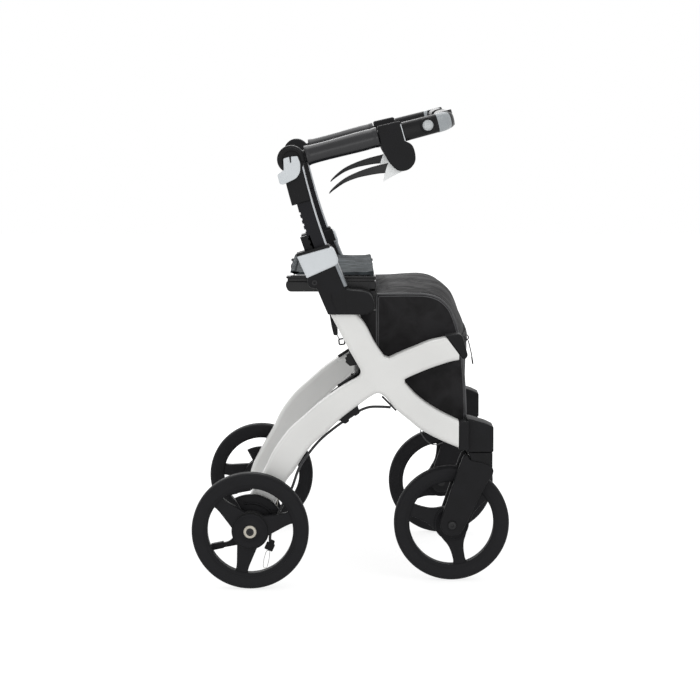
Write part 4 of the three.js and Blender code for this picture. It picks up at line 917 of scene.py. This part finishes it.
# Drum brakes: cast covers on the legs' outer faces with a raised guard over the top and a kerb pedal behind.
drum = [[0, -268], [24, -268], [26, -267.2], [31, -267.2], [32.4, -266.4], [33, -264], [33, -256.4],
        [0, -256.4]]
arc = np.radians(np.linspace(28, 118, 40))
hub = np.array([0, 100])
guard_rim, guard_foot = (hub + r * np.stack([np.cos(arc), np.sin(arc)], 1) for r in (58, 30))
guard = np.concatenate([guard_rim, guard_foot[::-1]])
bead = np.insert(hub + 43.5 * np.stack([np.cos(arc[4:-6]), np.sin(arc[4:-6])], 1), 1, -267.4, axis=1)
pedal = plate([(-24, 92, 2), (-34, 79, 3), (-40, 75.6, 3), (-67, 70.6, 2), (-66.6, 62.4, 2), (-20, 71, 2)],
              -268, -258, 2, 3)
pedal_pad = plate([(-68.4, 72, 1), (-67.4, 61, 1), (-46, 65.4, 1), (-47, 76.4, 1)], -269, -257, 1.2, 2)
drum_shells = [shell(turned(drum, (0, 0, wheel_high), sides=96)), shell(plate(guard, -267, -257, 2.4, 4)),
               shell(swept(bead, ellipse(1.5, 2.2, 12))),
               shell(pedal), shell(pedal_pad)]
both_sides("drum_brake", drum_shells, rim_nylon, "frame", "black_plastic", ["drum_brake"])

# Brake adjusters: black barrels on the drums with a knurled head, and a thin wire loop that hangs from each.
tilt = math.radians(24)


def turned_in(corners):
    """Corners (x, z, r) about the barrel's middle, turned by its tilt and set in their place on the drum."""
    return [(33 + x * math.cos(tilt) + z * math.sin(tilt), 70 - x * math.sin(tilt) + z * math.cos(tilt), *r)
            for x, z, *r in corners]


adjuster_shells = [shell(plate(turned_in([(-7.5, -8, 2), (7.5, -8, 2), (7.5, 5, 2), (-7.5, 5, 2)]),
                               -274.3, -268.3, 1, 2)),
                   shell(plate(turned_in([(-3.5, 4), (5.5, 4), (4.5, 11, 2), (-3, 11, 2)]),
                               -274, -268.6, 0.8, 2))]
both_sides("brake_adjuster", adjuster_shells, grained_nylon, "frame", "black_plastic", ["brake_adjuster"])
loop = resampled(rounded([(27, 62, 6), (33, 62, 6), (31, 44, 8), (27, 31, 5), (21, 32, 5), (22, 46, 8)]), 40)
both_sides("adjuster_wire", [shell(swept(np.insert(loop, 1, -272, axis=1), ellipse(0.45, 0.45, 6), ring=True),
                                   ring=True)], zinc_plate, "frame", "steel")

# Caster housings: upright black nylon boxes on the lower struts' ends, with a sloping top.
caster_line = [(370.8, 227.2, 1), (417.4, 227.2, 2), (417.2, 270.6, 1.5), (404.6, 276.8, 3), (379, 284.6, 3),
               (370.8, 285.6, 1)]
link_line = [(356.9, 232, 1), (374, 232), (374, 281.5, 2), (356.9, 281.5, 2)]
caster_shells = [shell(plate(caster_line, -242, -188, 2, 4)), shell(plate(link_line, -253, -222, 1.6, 3))]
both_sides("caster_housing", caster_shells, grained_nylon, "frame", "black_plastic", ["caster_housing"])
hook_wire = through([(290, -252, 268), (296, -254, 256), (305, -256, 246.5), (316, -256, 242.5),
                     (330, -252, 246)], 1.5)
both_sides("fork_guard_wire", [shell(swept(hook_wire, ellipse(0.9, 0.9, 8)))], sheath_pvc, "frame",
           "black_plastic")

# Front forks: black nylon legs on both sides of the wheel under a swivelling head. Hex-socket bolts hold the
# wheel between their round ends.


def cheek(back):
    """The corners of one leg of a fork, its rear edge moved back by that much."""
    return [(346.5 + x, 100 + z, r) for x, z, r in (
        (-10, -20, 12), (-23, -2, 12), (-17.6 - back, 15, 6), (9.6 - back, 96, 6), (19 - back, 120, 6),
                                                    (25, 125, 4),
        (31, 112.6, 5), (46, 110.6, 8), (60, 107, 8), (72, 97, 5), (69.6, 85, 6), (61, 75, 10), (23.6, -1, 8),
        (13, -19, 12))]


head_line = [(374.5, 226.7, 2), (416, 226.7, 2), (416, 196, 3), (380.5, 203, 2)]
fork_shells = [shell(plate(cheek(0), -242, -230, 3, 5)), shell(plate(cheek(1.5), -200, -188, 3, 5)),
               shell(plate(head_line, -239, -191, 2, 3)),
               shell(turned([[0, 205], [8, 205], [8, 255], [7, 260], [0, 260]], (395.5, -215, 0), (0, 0, 1),
                            32))]
both_sides("front_fork", fork_shells, grained_nylon, "fork", "black_plastic", ["front_fork"])
fork_bolt = [[0, -29.6], [2.8, -29.6], [3.2, -31.6], [5.6, -31.6], [6.6, -31], [7, -29.6], [7, -26.6],
             [5, -26],
             [5, 26], [7, 26.6], [7, 30], [0, 30]]
both_sides("front_axle_bolt", [shell(turned(fork_bolt, front_at, sides=36))], oxide_steel, "fork",
           "dark_steel",
           ["front_axle"])


# Floor and light: a white sweep under soft, even lamps. The floor shows white to the camera and keeps the
# walker's shadow. To all other light it is a plain pale floor.
def stage_plane(name, corners, material):
    """A flat backdrop from its corners, which isn't part of the walker."""
    mesh = bpy.data.meshes.new(name)
    mesh.from_pydata(corners, [], [list(range(len(corners)))])
    mesh.materials.append(material)
    thing = bpy.data.objects.new(name, mesh)
    bpy.context.scene.collection.objects.link(thing)
    return thing


paper = bpy.data.materials.new("white_paper_sweep")
paper.use_nodes = True
tree = paper.node_tree
tree.nodes.remove(tree.nodes["Principled BSDF"])
rays = node(tree, "ShaderNodeLightPath")
seen = node(tree, "ShaderNodeMath", {0: rays.outputs["Is Camera Ray"], 1: rays.outputs["Is Glossy Ray"]},
            operation="MAXIMUM")
seen = node(tree, "ShaderNodeMath", {0: seen.outputs[0], 1: rays.outputs["Is Transmission Ray"]},
            operation="MAXIMUM").outputs[0]
lit = node(tree, "ShaderNodeBsdfDiffuse", {"Color": (0.32, 0.32, 0.32, 1)}).outputs[0]
apart = node(tree, "ShaderNodeVectorMath", {0: node(tree, "ShaderNodeTexCoord").outputs["Object"]},
             operation="LENGTH")
level = node(tree, "ShaderNodeMapRange",
             {0: apart.outputs["Value"], 1: 0.55, 2: 1.3, 3: 0.8, 4: 1}).outputs[0]
glow = node(tree, "ShaderNodeEmission", {"Color": (1, 1, 1, 1), "Strength": level}).outputs[0]
shown = node(tree, "ShaderNodeAddShader", {0: lit, 1: glow}).outputs[0]
plain = node(tree, "ShaderNodeBsdfDiffuse", {"Color": (0.85, 0.85, 0.85, 1)}).outputs[0]
paper_mix = node(tree, "ShaderNodeMixShader", {0: seen, 1: plain, 2: shown}).outputs[0]
tree.links.new(paper_mix, tree.nodes["Material Output"].inputs["Surface"])
stage_plane("floor", [(-9, -9, -0.001), (9, -9, -0.001), (9, 9, -0.001), (-9, 9, -0.001)], paper)

world = bpy.data.worlds.new("studio")
bpy.context.scene.world = world
world.use_nodes = True
tree = world.node_tree
rays = node(tree, "ShaderNodeLightPath")
seen = node(tree, "ShaderNodeMath", {0: rays.outputs["Is Camera Ray"], 1: rays.outputs["Is Glossy Ray"]},
            operation="MAXIMUM")
seen = node(tree, "ShaderNodeMath", {0: seen.outputs[0], 1: rays.outputs["Is Transmission Ray"]},
            operation="MAXIMUM").outputs[0]
level = node(tree, "ShaderNodeMapRange", {0: seen, 1: 0, 2: 1, 3: 0.72, 4: 1}).outputs[0]
background = tree.nodes["Background"]
background.inputs["Color"].default_value = (1, 1, 1, 1)
tree.links.new(level, background.inputs["Strength"])

for name, place, power, size in (("key_lamp", (1.6, -2.6, 2.6), 18, 1.8),
                                 ("fill_lamp", (-2.4, -2.2, 1.8), 12, 2.2),
                                 ("top_lamp", (0.2, 0.6, 3.2), 30, 2.4),
                                 ("back_lamp", (-0.6, 2.8, 2.0), 22, 2.0),
                                 ("level_lamp", (0.1, -4.4, 0.7), 12, 1.6)):
    lamp = bpy.data.lights.new(name, "AREA")
    lamp.energy, lamp.size = power, size
    thing = bpy.data.objects.new(name, lamp)
    bpy.context.scene.collection.objects.link(thing)
    thing.location = place
    aim = np.array([0, 0, 0.45]) - np.array(place)
    yaw = math.atan2(aim[1], aim[0])
    thing.rotation_euler = (math.acos(-aim[2] / np.linalg.norm(aim)), 0, yaw - math.pi / 2)

bpy.context.scene.view_settings.view_transform = "Standard"
